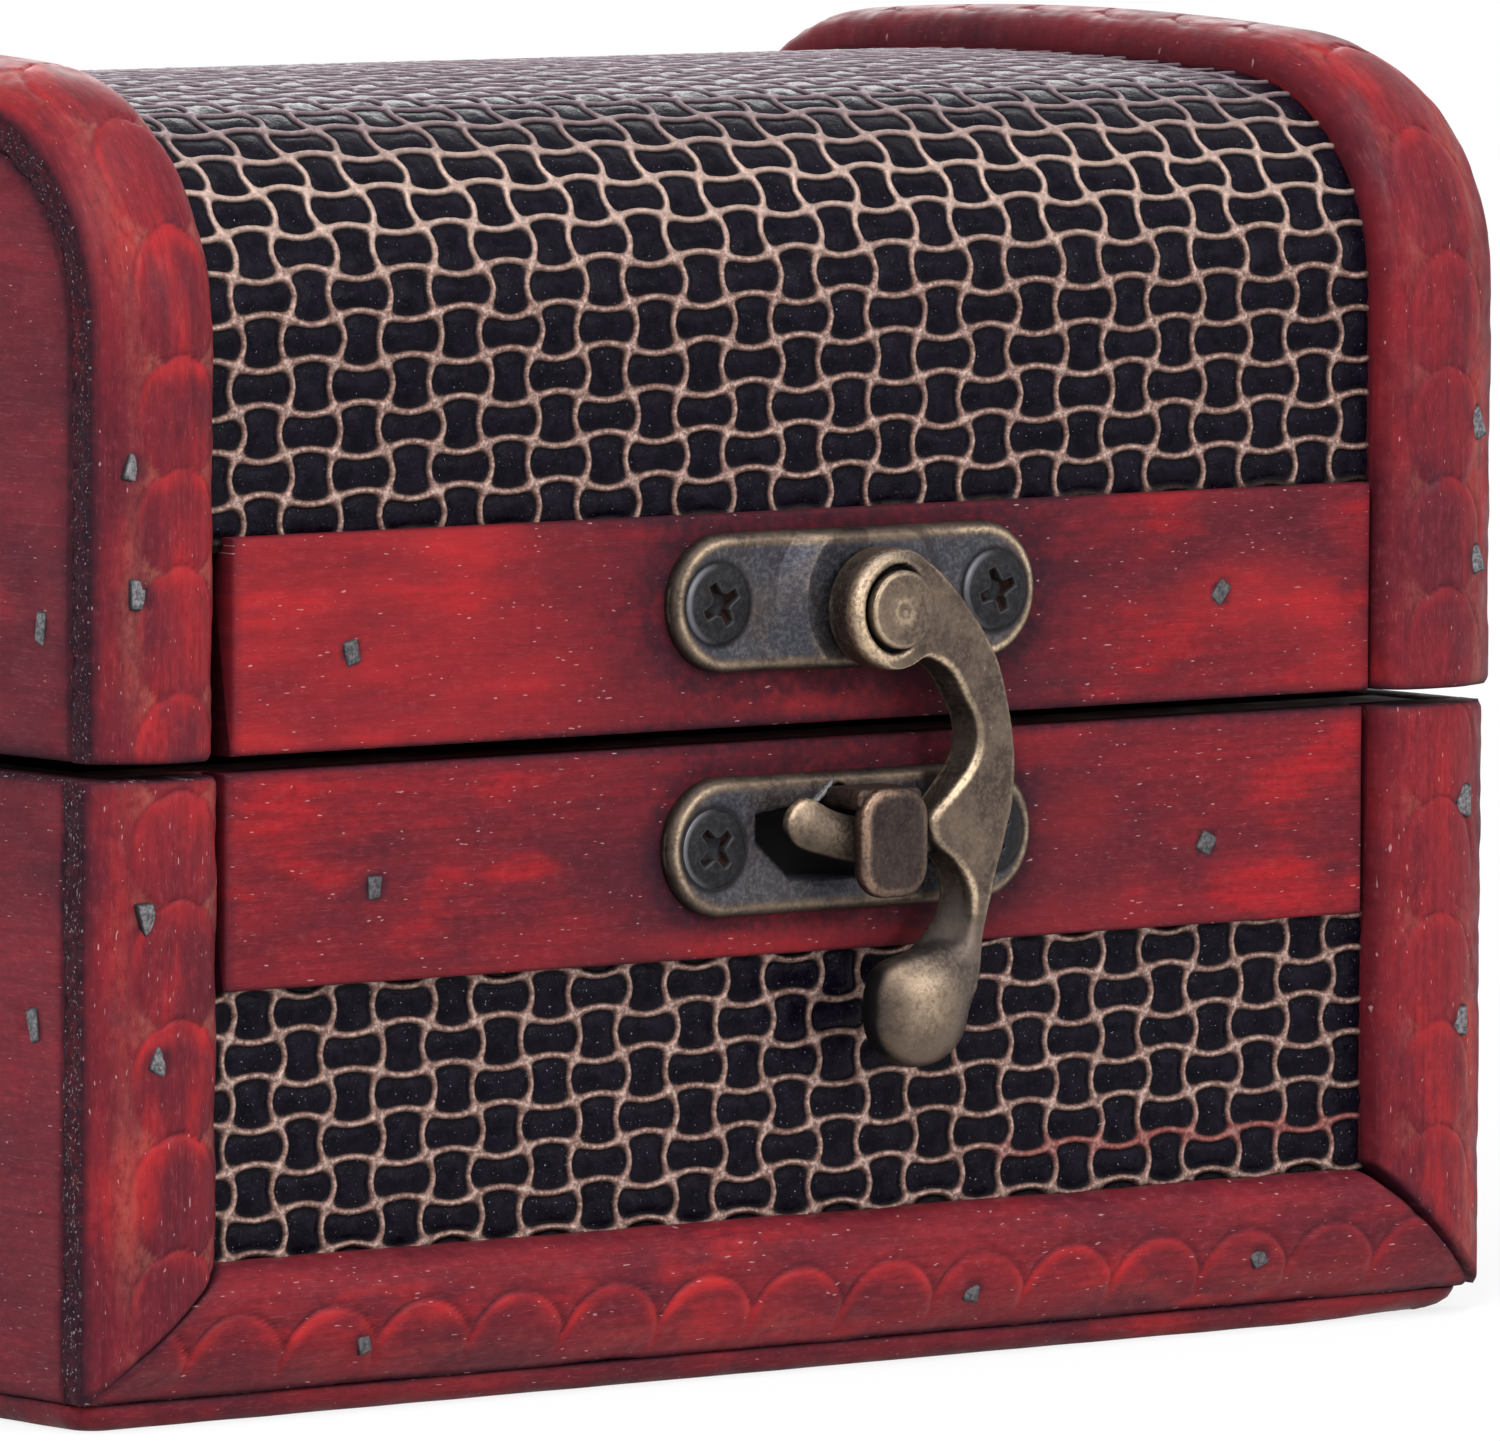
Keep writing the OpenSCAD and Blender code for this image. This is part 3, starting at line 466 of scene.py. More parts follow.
def brad_places(node):
    """(centre of the head's outer face, outward direction) of each brad, in millimetres."""
    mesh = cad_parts[node].data
    verts = np.array([v.co for v in mesh.vertices]) / MM
    first_at = {}
    parent = [first_at.setdefault(tuple(co), i) for i, co in enumerate(np.round(verts, 3))]

    def root(index):
        while parent[index] != index:
            parent[index] = parent[parent[index]]
            index = parent[index]
        return index

    for edge in mesh.edges:
        first, second = map(root, edge.vertices)
        parent[first] = second
    roots = np.array([root(index) for index in range(len(verts))])
    found = []
    for key in np.unique(roots):
        shell = verts[roots == key]
        low, high = shell.min(0), shell.max(0)
        centre, outward = (low + high) / 2, np.zeros(3)
        axis = int(np.argmax(high - low))
        outward[axis] = 1.0 if centre[axis] > 0 else -1.0
        centre[axis] = high[axis] if centre[axis] > 0 else low[axis]
        found.append((centre, outward))
    return found


BRADS = {"base": brad_places("base_brads"), "lid": brad_places("lid_brads")}


def near_brads(points, body, reach):
    """1 at the middle of one of the body's brads, falling off over reach."""
    away = [np.linalg.norm(points - centre, axis=-1) for centre, _ in BRADS[body]]
    return bump(np.min(away, axis=0), reach)


# Mouldings

SECTION_STEP = 0.22
ARCH_R = 3.85
CUT_BOW = 0.55
WALL_ROWS = 9
MITRE = BOTTOM_TRIM_W / TRIM_W

# The discs' outer tip, outer notch, inner notch and inner tip, in from the outer edge
CHAIN = {"left": (2.4, 4.3, 7.2, 8.9), "right": (1.9, 3.8, 6.7, 8.3)}
# Where the discs meet along each moulding, as far as the photograph shows them
BASE_CUTS = {"left": (37.7, 31.2, 24.1, 17.3, 10.4), "right": (32.5, 25.25, 18.45, 11.9)}
LID_CUTS = {"left": (3.8, 11.3, 17.1), "right": (6.0, 12.9, 19.8)}
LID_TRIM_W = {"left": LID_LEFT_TRIM_W, "right": LID_RIGHT_TRIM_W}
CRISP = {"left": 1.0, "right": 0.55}
ARCH_CENTRES = np.array([-44.5, -37.8, -30.5, -23.7, -16.2, -8.7, -1.9, 5.6, 12.7, 19.8, 27.0,
                         34.1, 41.3])


def section_samples(width):
    """Points (in from the outer edge, height) and unit normals over a moulding's rounded face."""
    drop = TRIM_RISE - TRIM_EDGE_RISE
    crown = width * TRIM_CROWN_SHARE
    r = (crown * crown + drop * drop) / (2 * drop)
    ease_s = width - TRIM_EASE_R
    run = ease_s - crown
    centre = TRIM_RISE - r + math.sqrt((r - TRIM_EASE_R) ** 2 - run * run)
    meet = crown + r * run / (r - TRIM_EASE_R)
    across = np.linspace(0.0, meet, int(meet / SECTION_STEP) + 1)
    angle = (across - crown) / r
    rise = TRIM_RISE - r + np.sqrt(r * r - (across - crown) ** 2)
    turn = np.linspace(math.asin((meet - ease_s) / TRIM_EASE_R), math.pi / 2, 12)[1:]
    s = np.concatenate([across, ease_s + TRIM_EASE_R * np.sin(turn)])
    h = np.concatenate([rise, centre + TRIM_EASE_R * np.cos(turn)]) - 0.22 * bump(s, 0.28)
    normal_s = np.concatenate([angle, np.sin(turn)])
    return s, h, normal_s, np.concatenate([np.sqrt(1 - angle ** 2), np.cos(turn)])


def cell_at(along, cuts):
    """Where the carved cell at each place starts, and half its length."""
    cuts = np.asarray(cuts, float)
    cell = np.clip(np.searchsorted(cuts, along) - 1, 0, len(cuts) - 2)
    return cuts[cell], (cuts[cell + 1] - cuts[cell]) / 2


def disc_chain(along, s, cuts, outer_tip, outer_notch, inner_notch, inner_tip):
    """Relief, dark line, lit upper rim and pale notch of carved discs that touch at their cuts."""
    off_middle = (2 * s - outer_notch - inner_notch) / (inner_notch - outer_notch)
    along = along - CUT_BOW * np.clip(1 - off_middle ** 2, 0, 1)
    start, half = cell_at(along, cuts)
    t = np.clip((along - start) / half - 1, -1, 1)
    round_off = np.sqrt(1 - t * t) * 0.6 + 0.4 * (1 - t * t)
    outer = outer_notch - (outer_notch - outer_tip) * round_off
    inner = inner_notch + (inner_tip - inner_notch) * round_off
    from_side = np.minimum(s - outer, inner - s)
    from_cut, below_top = half * (1 - np.abs(t)), half * (1 - t)
    inside = from_side > 0
    upper = smooth(-0.5, 0.6, t)
    side_line = bump(from_side, 0.17) * (0.2 + 0.8 * upper)
    line = np.maximum(side_line, bump(below_top - 0.05, 0.15) * inside)
    ragged = 0.75 + 0.35 * waves(xyz(along, s, half), 2.2, 7)
    lit = smooth(0.0, 0.3, below_top) * bump(np.maximum(below_top - 0.3, 0.0), 0.9)
    lit = np.maximum(lit, 0.8 * bump(from_side - 0.3, 0.25) * upper) * inside * ragged
    pillow = smooth(0.0, 1.1, np.minimum(from_side, below_top)) * inside
    pillow = pillow * (0.45 + 0.55 * smooth(-1.0, 0.4, t))
    outside = np.maximum(-from_side, 0.0)
    notch = np.where(inside, 0.0, bump(np.hypot(outside - 0.3, from_cut * 0.8), 0.8))
    return -0.13 * line + 0.11 * pillow - 0.10 * notch, line, lit, notch


def arch_row(along, inward, cuts):
    """Relief, dark line, lit tip and no notch of a row of carved arches.

    inward is the distance from the arches' tips towards their open ends.
    """
    start, half = cell_at(along, cuts)
    off = np.minimum(np.abs(along - start - half), ARCH_R - 0.05)
    bend = (off / ARCH_R) ** 2
    from_arc = (inward - ARCH_R * (1 - np.sqrt(1.0 - bend))) * np.sqrt(1.0 - 0.8 * bend)
    from_side = half - off
    fade = 1.0 - smooth(2.6, 4.6, inward)
    side_line = bump(from_side, 0.19) * smooth(2.0, 2.8, inward) * fade
    line = np.maximum(bump(from_arc, 0.19), side_line)
    inside = from_arc > 0
    ragged = 0.8 + 0.35 * waves(xyz(along, inward, half), 2.2, 8)
    lit = smooth(0.0, 0.3, from_arc) * bump(np.maximum(from_arc - 0.25, 0.0), 0.6) * inside
    pillow = smooth(0.0, 1.0, np.minimum(from_arc, from_side)) * inside * fade
    return -0.17 * line + 0.10 * pillow, line, lit * ragged, 0.0


def moulding_piece(node, body, width, rows, point_at, carving, seed, start, end,
                   black=(True, True), wear_and_sheen=1.0, crisp=1.0):
    """A carved half-round moulding: a pale crest band, partly rubbed wear and partly painted sheen,
    as strong as its wear-and-sheen argument, and painted highlights on its carving as strong as
    crisp.

    start and end are the places of its ends at the outer edge, and how they slant from there;
    point_at(along, s, height) gives points in the box's frame; carving gives the relief, line,
    lit part and notch at (along, s); black says which ends are sawn square and black.
    """
    s, h, normal_s, normal_h = section_samples(width)
    first, last = start[0] + start[1] * s, end[0] + end[1] * s
    stations = np.linspace(0, 1, rows)[:, None]
    along = first + stations * (last - first)
    outer = along[:, :1]
    relief, line, lit, notch = carving(along, np.broadcast_to(s, along.shape))
    spots = point_at(along, s, h)
    length = abs(last.mean() - first.mean())
    to_first, to_last = stations * length, (1 - stations) * length
    rough = 0.045 * waves(spots, 5.0, seed) + 0.02 * waves(spots, 1.7, seed + 1)
    end_ease = 0.22 * (bump(to_first, 0.22) + bump(to_last, 0.22))
    push = relief + rough - end_ease - 0.10 * near_brads(spots, body, 1.1)
    push = np.minimum(push, 0.04) - 0.05
    top = point_at(along, s + push * normal_s, h + push * normal_h)
    inner = point_at(along[:, -1:], width - 0.05, -COVERING_T)
    wall_h = np.linspace(-COVERING_T, TRIM_EDGE_RISE - 0.45, WALL_ROWS)
    wall = point_at(outer, 0.0, wall_h)
    crumble = 0.10 * waves(wall, 1.1, seed + 5) + 0.06 * waves(wall, 0.5, seed + 6)
    wall = point_at(outer, 0.13 + np.clip(crumble, -0.11, 0.3), wall_h)

    extra = 1 + WALL_ROWS
    # Darkening along the carved lines is painted shade in their grooves.
    dark = 0.30 * line + 0.85 * bump(s, 0.28) + 0.20 * bump(s, 1.0) + 0.35 * bump(width - s, 0.5)
    dark += 0.75 * smooth(0.35, 1.0, near_brads(spots, body, 1.25))
    dark = padded(dark + 0.55 * bump(np.minimum(to_first, to_last), 0.45), extra, 0.97)
    dark[[0, -1]] = np.where(black, 1.0, 0.8)[:, None]
    # Painted highlight on the carving's lit rims.
    tip = crisp * lit * (0.72 + 0.28 * waves(spots, 6.0, seed + 2))
    # A pale band along the crest: partly rubbed wear, partly a painted sheen.
    crest = wear_and_sheen * bump(s - width * 0.22, width * 0.07)
    crest = crest * (0.35 + 0.5 * waves(spots * (1.0, 1.0, 0.35), 6.0, seed + 3))
    lengthwise = np.concatenate([along, outer.repeat(extra, 1)], 1)
    across = np.concatenate([s, -3.0 + 0.35 * np.arange(extra)])
    add_piece(f"carved_{node}", np.concatenate([top, inner, wall], 1), WOOD_RED, body, "red_wood",
              node, dark=dark, tip=padded(tip, extra),
              worn=padded(np.maximum(crest, notch * crisp), extra),
              grain=grain_at(lengthwise, across, seed))


def upright_point(side, facing):
    return lambda along, s, h: xyz(side * (HALF_W - s), facing * (HALF_D + h), along)


def bottom_point(facing):
    return lambda along, s, h: xyz(along, facing * (HALF_D + h), BOTTOM_T + s)


def lid_path(along, height):
    """(y, z) at a distance along the lid's curve from its front edge, and a height over it."""
    arc = SHOULDER_R * SHOULDER_TURN
    back = along > LID_PATH_L / 2
    d = np.where(back, LID_PATH_L - along, along)
    turn = np.clip((d - LID_SIDE_H) / SHOULDER_R, 0, SHOULDER_TURN)
    lean = np.clip((d - LID_SIDE_H - arc) / CROWN_R, 0, CROWN_HALF) - CROWN_HALF
    where = [d < LID_SIDE_H, d < LID_SIDE_H + arc]
    shoulder, crown = SHOULDER_R + height, CROWN_R + height
    y = np.where(where[0], -HALF_D - height,
                 np.where(where[1], -SHOULDER_Y - shoulder * np.cos(turn), crown * np.sin(lean)))
    z = np.where(where[0], LID_Z + d,
                 np.where(where[1], SHOULDER_Z + shoulder * np.sin(turn),
                          CROWN_Z + crown * np.cos(lean)))
    return np.where(back, -y, y), z


def lid_point(side):
    return lambda along, s, h: xyz(side * (HALF_W - s) + LID_SHIFT, *lid_path(along, h))


def go_on(cuts, low, high):
    """The cuts with more of them at the same pitch, to cover low to high."""
    cuts = sorted(cuts)
    pitch = (cuts[-1] - cuts[0]) / (len(cuts) - 1)
    while cuts[0] > low:
        cuts.insert(0, cuts[0] - pitch)
    while cuts[-1] < high:
        cuts.append(cuts[-1] + pitch)
    return cuts


def build_mouldings():
    arch_cuts = go_on((ARCH_CENTRES[1:] + ARCH_CENTRES[:-1]) / 2, -HALF_W, HALF_W)
    for facing, face in FACES:
        back = facing > 0
        for side, word in SIDES:
            cuts = go_on(BASE_CUTS[word], -2.0, BASE_H + 1.0)
            moulding_piece(
                f"base_{face}_{word}_moulding", "base", TRIM_W, 190, upright_point(side, facing),
                lambda a, s: disc_chain(a, s, cuts, *CHAIN[word]), 10 + side + 4 * back,
                (BOTTOM_T + 0.1, MITRE), (BASE_H - 0.02, 0.0), (False, True), crisp=CRISP[word])
        moulding_piece(
            f"base_{face}_bottom_moulding", "base", BOTTOM_TRIM_W, 480, bottom_point(facing),
            lambda a, s: arch_row(a, 0.64 * BOTTOM_TRIM_W - s, arch_cuts), 21 + back,
            (-HALF_W + 0.1, 1 / MITRE), (HALF_W - MITRE_GAP, -1 / MITRE), (False, False), wear_and_sheen=0.3)
    for side, word in SIDES:
        cuts = go_on(LID_CUTS[word], -1.0, LID_PATH_L + 1.0)
        width = LID_TRIM_W[word]
        moulding_piece(
            f"lid_{word}_moulding", "lid", width, 560, lid_point(side),
            lambda a, s: disc_chain(a, s * TRIM_W / width, cuts, *CHAIN[word]), 31 + side,
            (0.0, 0.0), (LID_PATH_L, 0.0), crisp=CRISP[word])


# Rails and boards

RAIL_EASE = 0.3
RAIL_T = RAIL_RISE + COVERING_T


def rail_grid():
    """A rail lying in x and z with its outer face at y = 0 and eased edges, as rings along x."""
    length = 2 * RAIL_HALF_L
    turn = np.linspace(math.pi / 2, 0, 5)
    rise, depth = RAIL_EASE * (1 - np.sin(turn)), RAIL_EASE * (1 - np.cos(turn))
    across = np.linspace(RAIL_EASE, RAIL_H - RAIL_EASE, 36)[1:-1]
    z = np.concatenate([rise, across, RAIL_H - rise[::-1], [RAIL_H, 0.0]])
    y = np.concatenate([depth, 0.0 * across, depth[::-1], [RAIL_T, RAIL_T]])
    near, sunk = RAIL_EASE * np.array([[0.0, 0.15, 0.45], [1.0, 0.45, 0.15]])
    middle = np.linspace(RAIL_EASE, length - RAIL_EASE, int(length / 0.5))
    x = np.concatenate([near, middle, length - near[::-1]])[:, None]
    sink = np.concatenate([sunk, 0.0 * middle, sunk[::-1]])[:, None]
    return xyz(x, np.where(y < RAIL_T, np.maximum(y, sink), y), z)


def rail_piece(body, facing, face, seed):
    raw = rail_grid()
    across = raw[..., 2]
    x, z = raw[..., 0] + SHIFT[body] - RAIL_HALF_L, across + RAIL_Z[body]
    outer = raw[..., 1] < 0.5
    uneven = 0.03 - 0.03 * np.clip(waves(raw, 9.0, seed), -1, 1)
    out = RAIL_FACE - raw[..., 1] - uneven * outer
    dent = near_brads(xyz(x, facing * out, z), body, 0.9)
    to_seam = across if body == "lid" else RAIL_H - across
    to_end = np.minimum(raw[..., 0], 2 * RAIL_HALF_L - raw[..., 0])
    dark = 0.40 * bump(np.minimum(across, RAIL_H - across), 0.25) + 0.5 * bump(to_end, 0.4)
    dark += 0.5 * bump(to_seam, 0.4) + 0.9 * smooth(0.25, 0.6, dent)
    # Painted highlight where marked tip: bright patches along the rail, more at the lid rail's left
    # end and in a band beside the latch plate.
    tip = 0.5 * smooth(0.2, 1.5, waves(raw * (0.3, 1.0, 1.0), 7.0, seed + 5))
    haze, glow_at = (0.34, 2.0) if body == "lid" else (0.10, 1.0)
    if body == "lid":
        tip += 0.45 * (1 - smooth(18.0, 34.0, raw[..., 0]))
    if facing < 0:
        plate_x, plate_z = PLATE_ON[body]
        over = np.maximum(np.abs(x - plate_x) - (PLATE_L - PLATE_W) / 2, 0)
        away = np.maximum(np.hypot(over, z - plate_z) - PLATE_W / 2, 0)
        dark += 0.5 * bump(away, 1.4) + 0.38 * bump(away, 5.0) + haze * bump(away, 14.0)
        dark = np.minimum(dark, 0.88)
        tip += 1.3 * bump(x + 4.0, 8.0) * bump(across - glow_at, 1.1)
    add_piece(f"{body}_{face}_rail_board", xyz(x, facing * (out - 0.14 * dent * outer), z),
              WOOD_RAIL, body, "red_wood", f"{body}_{face}_rail",
              dark=np.where(outer, dark, 0.6), tip=tip * outer,
              grain=grain_at(raw[..., 0], across, seed))


def end_board(body, side, word, columns, low, tops, seed):
    """An end board between low and tops, whose outer face has eased edges, as rings along y."""
    ease, reach = 0.38, 0.42
    border = np.array([0.0, 0.03, 0.09, 0.18, 0.29, reach])
    share = np.linspace(0, 1, 70)[1:-1]
    y, top = columns[:, None], tops[:, None]
    z = np.concatenate([np.tile(low + border, (len(y), 1)),
                        low + reach + (top - low - 2 * reach) * share, top - border[::-1]], 1)
    to_curve = np.hypot(columns - y[..., None], tops - z[..., None]).min(-1)
    to_edge = np.minimum(np.minimum(z - low, columns[-1] - y), y - columns[0])
    away = np.minimum(np.maximum(to_edge, 0.0), to_curve)
    gap = np.maximum(ease - away, 0.0)
    depth = padded(0.06 + ease - np.sqrt(ease ** 2 - gap ** 2), 2, BOARD_T)
    away = padded(away, 2)
    z = np.concatenate([z, top, np.full(top.shape, low)], 1)
    spot = xyz(side * HALF_W + SHIFT[body], y, z)
    dent = near_brads(spot, body, 1.0)
    uneven = np.clip(0.04 * waves(spot, 7.0, seed), -0.05, 0.05)
    inset = np.where(depth < 1.0, depth + 0.10 * dent + uneven, depth)
    dark = 0.88 * bump(away, 0.4) + (0.5 * bump(away, 1.3) if body == "lid" else 0.0)
    dark = np.minimum(dark + 0.8 * smooth(0.3, 0.9, dent), 0.88)
    blotch = smooth(0.55, 0.95, 0.5 + 0.5 * waves(spot, 12.0, seed + 3))
    dark += 0.35 * blotch * bump(away, 5.0)
    dark[:, -2:] = 0.25
    add_piece(f"{body}_{word}_end_board", xyz(side * (HALF_W - inset) + SHIFT[body], y, z),
              WOOD_SIDE, body, "dark_wood", f"{body}_{word}_end",
              dark=dark, grain=grain_at(y, z, seed, depth))


def build_rails_and_ends():
    for facing, face in FACES:
        rail_piece("base", facing, face, 41 + (facing > 0))
        rail_piece("lid", facing, face, 43 + (facing > 0))
    carcass = HALF_D - COVERING_T
    edge = np.array([0.0, 0.05, 0.12, 0.22, 0.34, 0.48])
    flat = np.linspace(-carcass + 0.9, carcass - 0.9, 110)
    base_columns = np.concatenate([-carcass + edge, flat, carcass - edge[::-1]])
    corner = SHOULDER_R - COVERING_T
    turn = np.linspace(0, SHOULDER_TURN, 40)
    shoulder = -SHOULDER_Y - corner * np.cos(turn)
    crown = np.linspace(shoulder[-1], -shoulder[-1], 66)[1:-1]
    lid_columns = np.concatenate([shoulder, crown, -shoulder[::-1]])
    shoulder_top = SHOULDER_Z + corner * np.sin(turn)
    crown_top = CROWN_Z + np.sqrt((CROWN_R - COVERING_T) ** 2 - crown ** 2)
    lid_tops = np.concatenate([shoulder_top, crown_top, shoulder_top[::-1]])
    base_tops = np.full(base_columns.shape, BASE_H)
    for side, word in SIDES:
        end_board("base", side, word, base_columns, BOTTOM_T, base_tops, 51 + side)
        end_board("lid", side, word, lid_columns, LID_Z, lid_tops, 54 + side)


BOTTOM_LAYERS = [
    # inset, height, how far the worn corner draws it in, darkness
    (3.5, 0.0, 1.6, 0.3), (1.2, 0.0, 1.6, 0.4), (0.75, 0.12, 1.2, 0.35), (0.4, 0.4, 0.7, 0.2),
    (0.15, 0.8, 0.3, 0.1), (0.05, BOTTOM_T - 0.35, 0.1, 0.1), (0.12, BOTTOM_T - 0.10, 0.0, 0.6),
    (0.35, BOTTOM_T, 0.0, 0.95), (6.0, BOTTOM_T, 0.0, 0.8), (9.0, BOTTOM_T, 0.0, 0.2),
]


def build_bottom_board():
    """The bottom board, with worn, rounded edges and corners."""
    seed, corner, half_d = 61, 2.6, HALF_D + TRIM_EDGE_RISE
    centres, outward = round_corners(HALF_W, -half_d, half_d, corner, 9)
    coarse = centres + corner * outward
    outline = []
    for first, second in zip(coarse, np.roll(coarse, -1, 0)):
        parts = max(1, int(np.linalg.norm(second - first)))
        outline += [first + (second - first) * i / parts for i in range(parts)]
    outline = np.array(outline)
    heading = np.roll(outline, -1, 0) - np.roll(outline, 1, 0)
    heading /= np.linalg.norm(heading, axis=1, keepdims=True)
    inward = np.stack([-heading[:, 1], heading[:, 0]], -1)
    pulled = 0.25 + smooth(40.0, 53.0, outline[:, 0]) * (1 - smooth(-24.0, 4.0, outline[:, 1]))
    inset, z, low, tone = np.array(BOTTOM_LAYERS).T[:, :, None]
    shift = inset * 0.55 + pulled * (0.35 + low)
    flat = outline + inward * shift[..., None]
    rings = xyz(flat[..., 0], flat[..., 1], z)
    rings[1:-2, :, :2] += (0.06 * waves(rings[1:-2], 4.0, seed + 1))[..., None] * inward
    dark = tone + np.zeros(shift.shape)
    dark[1:-2] *= 0.9 + 0.2 * waves(rings[1:-2], 9.0, seed)
    add_piece("bottom_board", rings, WOOD_RED, "base", "dark_wood", "base_bottom_board",
              dark=dark, grain=grain_at(rings[..., 0], rings[..., 1], seed, rings[..., 2]))


# Lattice covering, whose border is tucked under the mouldings and rails

TUCK_X = 0.75
TUCK_S = 0.55
WIRE_H = 0.19
WIRE_HALF = 0.225
WIRE_FILLET = 0.45
CELL_STEPS = np.array([0.0, 0.034, 0.060, 0.084, 0.125, 0.19, 0.34, 0.50, 0.66, 0.81, 0.875,
                       0.916, 0.940, 0.966])
ROW_STEPS = np.array([0.0, 0.048, 0.086, 0.124, 0.19, 0.32, 0.50, 0.68, 0.81, 0.876, 0.914,
                      0.952])
SWAY_X = 0.51
SWAY_S = 0.365


def sample_lines(low, high, origin, pitch, steps):
    """Sample places from low to high that are close together beside each wire."""
    first = math.floor((low - origin) / pitch) - 1
    last = math.ceil((high - origin) / pitch) + 1
    lines = np.concatenate([origin + (k + steps) * pitch for k in range(first, last)])
    lines = lines[(lines > low + 0.06) & (lines < high - 0.06)]
    return np.concatenate([[low], lines, [high]])


def rounded_minimum(first, second, reach):
    """The smaller of two distances, drawn in further where both are small."""
    share = np.clip(0.5 + 0.5 * (second - first) / reach, 0.0, 1.0)
    return second * (1 - share) + first * share - reach * share * (1 - share)


def lattice_piece(name, x_range, s_range, x_wires, s_wires, tilt, point_at, seed, node,
                  stained=None):
    """The embossed covering over a rectangle of x and distance s, as one closed relief.

    x_wires and s_wires are the place of one wire and the pitch; stained gives the s and the
    lowest x of a wire that the wood stain has reddened.
    """
    grid_x, grid_s = np.meshgrid(sample_lines(*x_range, *x_wires, CELL_STEPS),
                                 sample_lines(*s_range, *s_wires, ROW_STEPS))
    p, q = (grid_x - x_wires[0]) / x_wires[1], (grid_s - s_wires[0]) / s_wires[1]
    flat = xyz(grid_x, grid_s, 0.0)
    sway = 1.0 + 0.14 * waves(flat, 9.0, seed)
    sway_x = SWAY_X * sway * np.cos(math.pi * p) * np.sin(math.pi * q)
    sway_s = SWAY_S * sway * np.cos(math.pi * q) * np.sin(math.pi * p)
    x = grid_x + sway_x + 0.09 * waves(flat, 14.0, seed + 1)
    s = grid_s - sway_s + 0.06 * waves(flat, 12.0, seed + 2) + tilt * grid_x
    to_x, to_s = np.abs(p - np.round(p)) * x_wires[1], np.abs(q - np.round(q)) * s_wires[1]
    away = np.maximum(rounded_minimum(to_x, to_s, WIRE_FILLET), 0.0)
    wire = np.clip(1 - (away / WIRE_HALF) ** 2, 0, 1) ** 0.6
    groove = bump(away - WIRE_HALF - 0.09, 0.09) * (wire <= 0)
    inside = np.minimum(np.minimum(grid_s - s_range[0], s_range[1] - grid_s) - TUCK_S,
                        np.minimum(grid_x - x_range[0], x_range[1] - grid_x) - TUCK_X)
    crumple = 0.13 + 0.06 * waves(flat, 1.5, seed + 3)
    relief = WIRE_H * wire - 0.06 * groove + crumple * smooth(WIRE_HALF, 1.2, away)
    relief += 0.02 * waves(flat, 0.9, seed + 4) * (wire > 0)
    rings = np.concatenate([point_at(x, s, relief - 0.02),
                            point_at(x[:, -1:], s[:, -1:], -COVERING_T),
                            point_at(x[:, :1], s[:, :1], -COVERING_T)], axis=1)
    marks = {}
    if stained:
        reddened = smooth(stained[1], stained[1] + 8.0, grid_x) * bump(grid_s - stained[0], 0.9)
        marks["stain"] = padded(0.55 * reddened, 2)
    # Painted shade: dark in the grooves and on the tucked border; the crest mark is a painted
    # highlight on the wires.
    border = 0.92 * (1 - smooth(-0.25, 0.25, inside))
    add_piece(name, rings, COVERING, "lid" if node.startswith("lid") else "base", "covering", node,
              dark=padded(np.maximum(0.75 * groove, border), 2),
              wire=padded(smooth(0.15, 0.55, wire), 2), crest=padded(smooth(0.80, 0.97, wire), 2),
              grain=xyz(padded(x, 2), padded(s, 2), seed * 13.0), **marks)


def build_coverings():
    tucked = OPEN_HALF_W + TUCK_X
    base_range = (BOTTOM_T + BOTTOM_TRIM_W - TUCK_S, RAIL_Z["base"] + TUCK_S)
    for facing, face in FACES:
        lattice_piece(f"base_{face}_lattice", (-tucked, tucked), base_range,
                      (-39.88, 3.76), (9.75, 2.635), 0.004,
                      lambda x, s, h: xyz(x, facing * (HALF_D + h), s), 71 + (facing > 0),
                      f"base_{face}_covering", (12.39, 12.0) if facing < 0 else None)
    lattice_piece("lid_lattice", (-tucked - (TRIM_W - LID_LEFT_TRIM_W), tucked),
                  (-TUCK_S, LID_PATH_L - 2 * RAIL_H + TUCK_S),
                  (-1.875 - LID_SHIFT, 3.75), (2.3, 2.68), 0.0065,
                  lambda x, s, h: xyz(x + LID_SHIFT, *lid_path(s + RAIL_H, h)), 75,
                  "lid_covering")


# Latch

PLATES = {"base": "catch_plate", "lid": "hook_plate"}
SCREW_PLACES = (-SCREW_PITCH / 2, SCREW_PITCH / 2)
BRIDGE_X = 0.3
BRIDGE_R = 5.05
BRIDGE_RAMP = 1.45
GLINT_FROM = np.array([-3.6, 2.35])
GLINT_ALONG = np.array([2.3, 1.10])
WINDOW = np.array([(-7.6, 1.9), (-7.5, 0.3), (-4.8, -2.1), (5.2, -2.2), (6.9, -0.6), (6.9, 1.8),
                   (1.6, 2.2), (-1.2, 3.5), (-3.6, 2.4)])


def inside_polygon(x, z, corners):
    """How far points lie inside an outline, negative outside."""
    spot = np.stack([x, z], -1)
    nearest = np.full(x.shape, np.inf)
    crossings = np.zeros(x.shape, int)
    for first, second in zip(corners, np.roll(corners, -1, 0)):
        side = second - first
        share = np.clip(((spot - first) @ side) / (side @ side), 0, 1)[..., None]
        nearest = np.minimum(nearest, np.linalg.norm(spot - first - share * side, axis=-1))
        spans = (first[1] > z) != (second[1] > z)
        crossings += spans & (x < first[0] + (z - first[1]) * side[0] / side[1])
    return np.where(crossings % 2 == 1, nearest, -nearest)


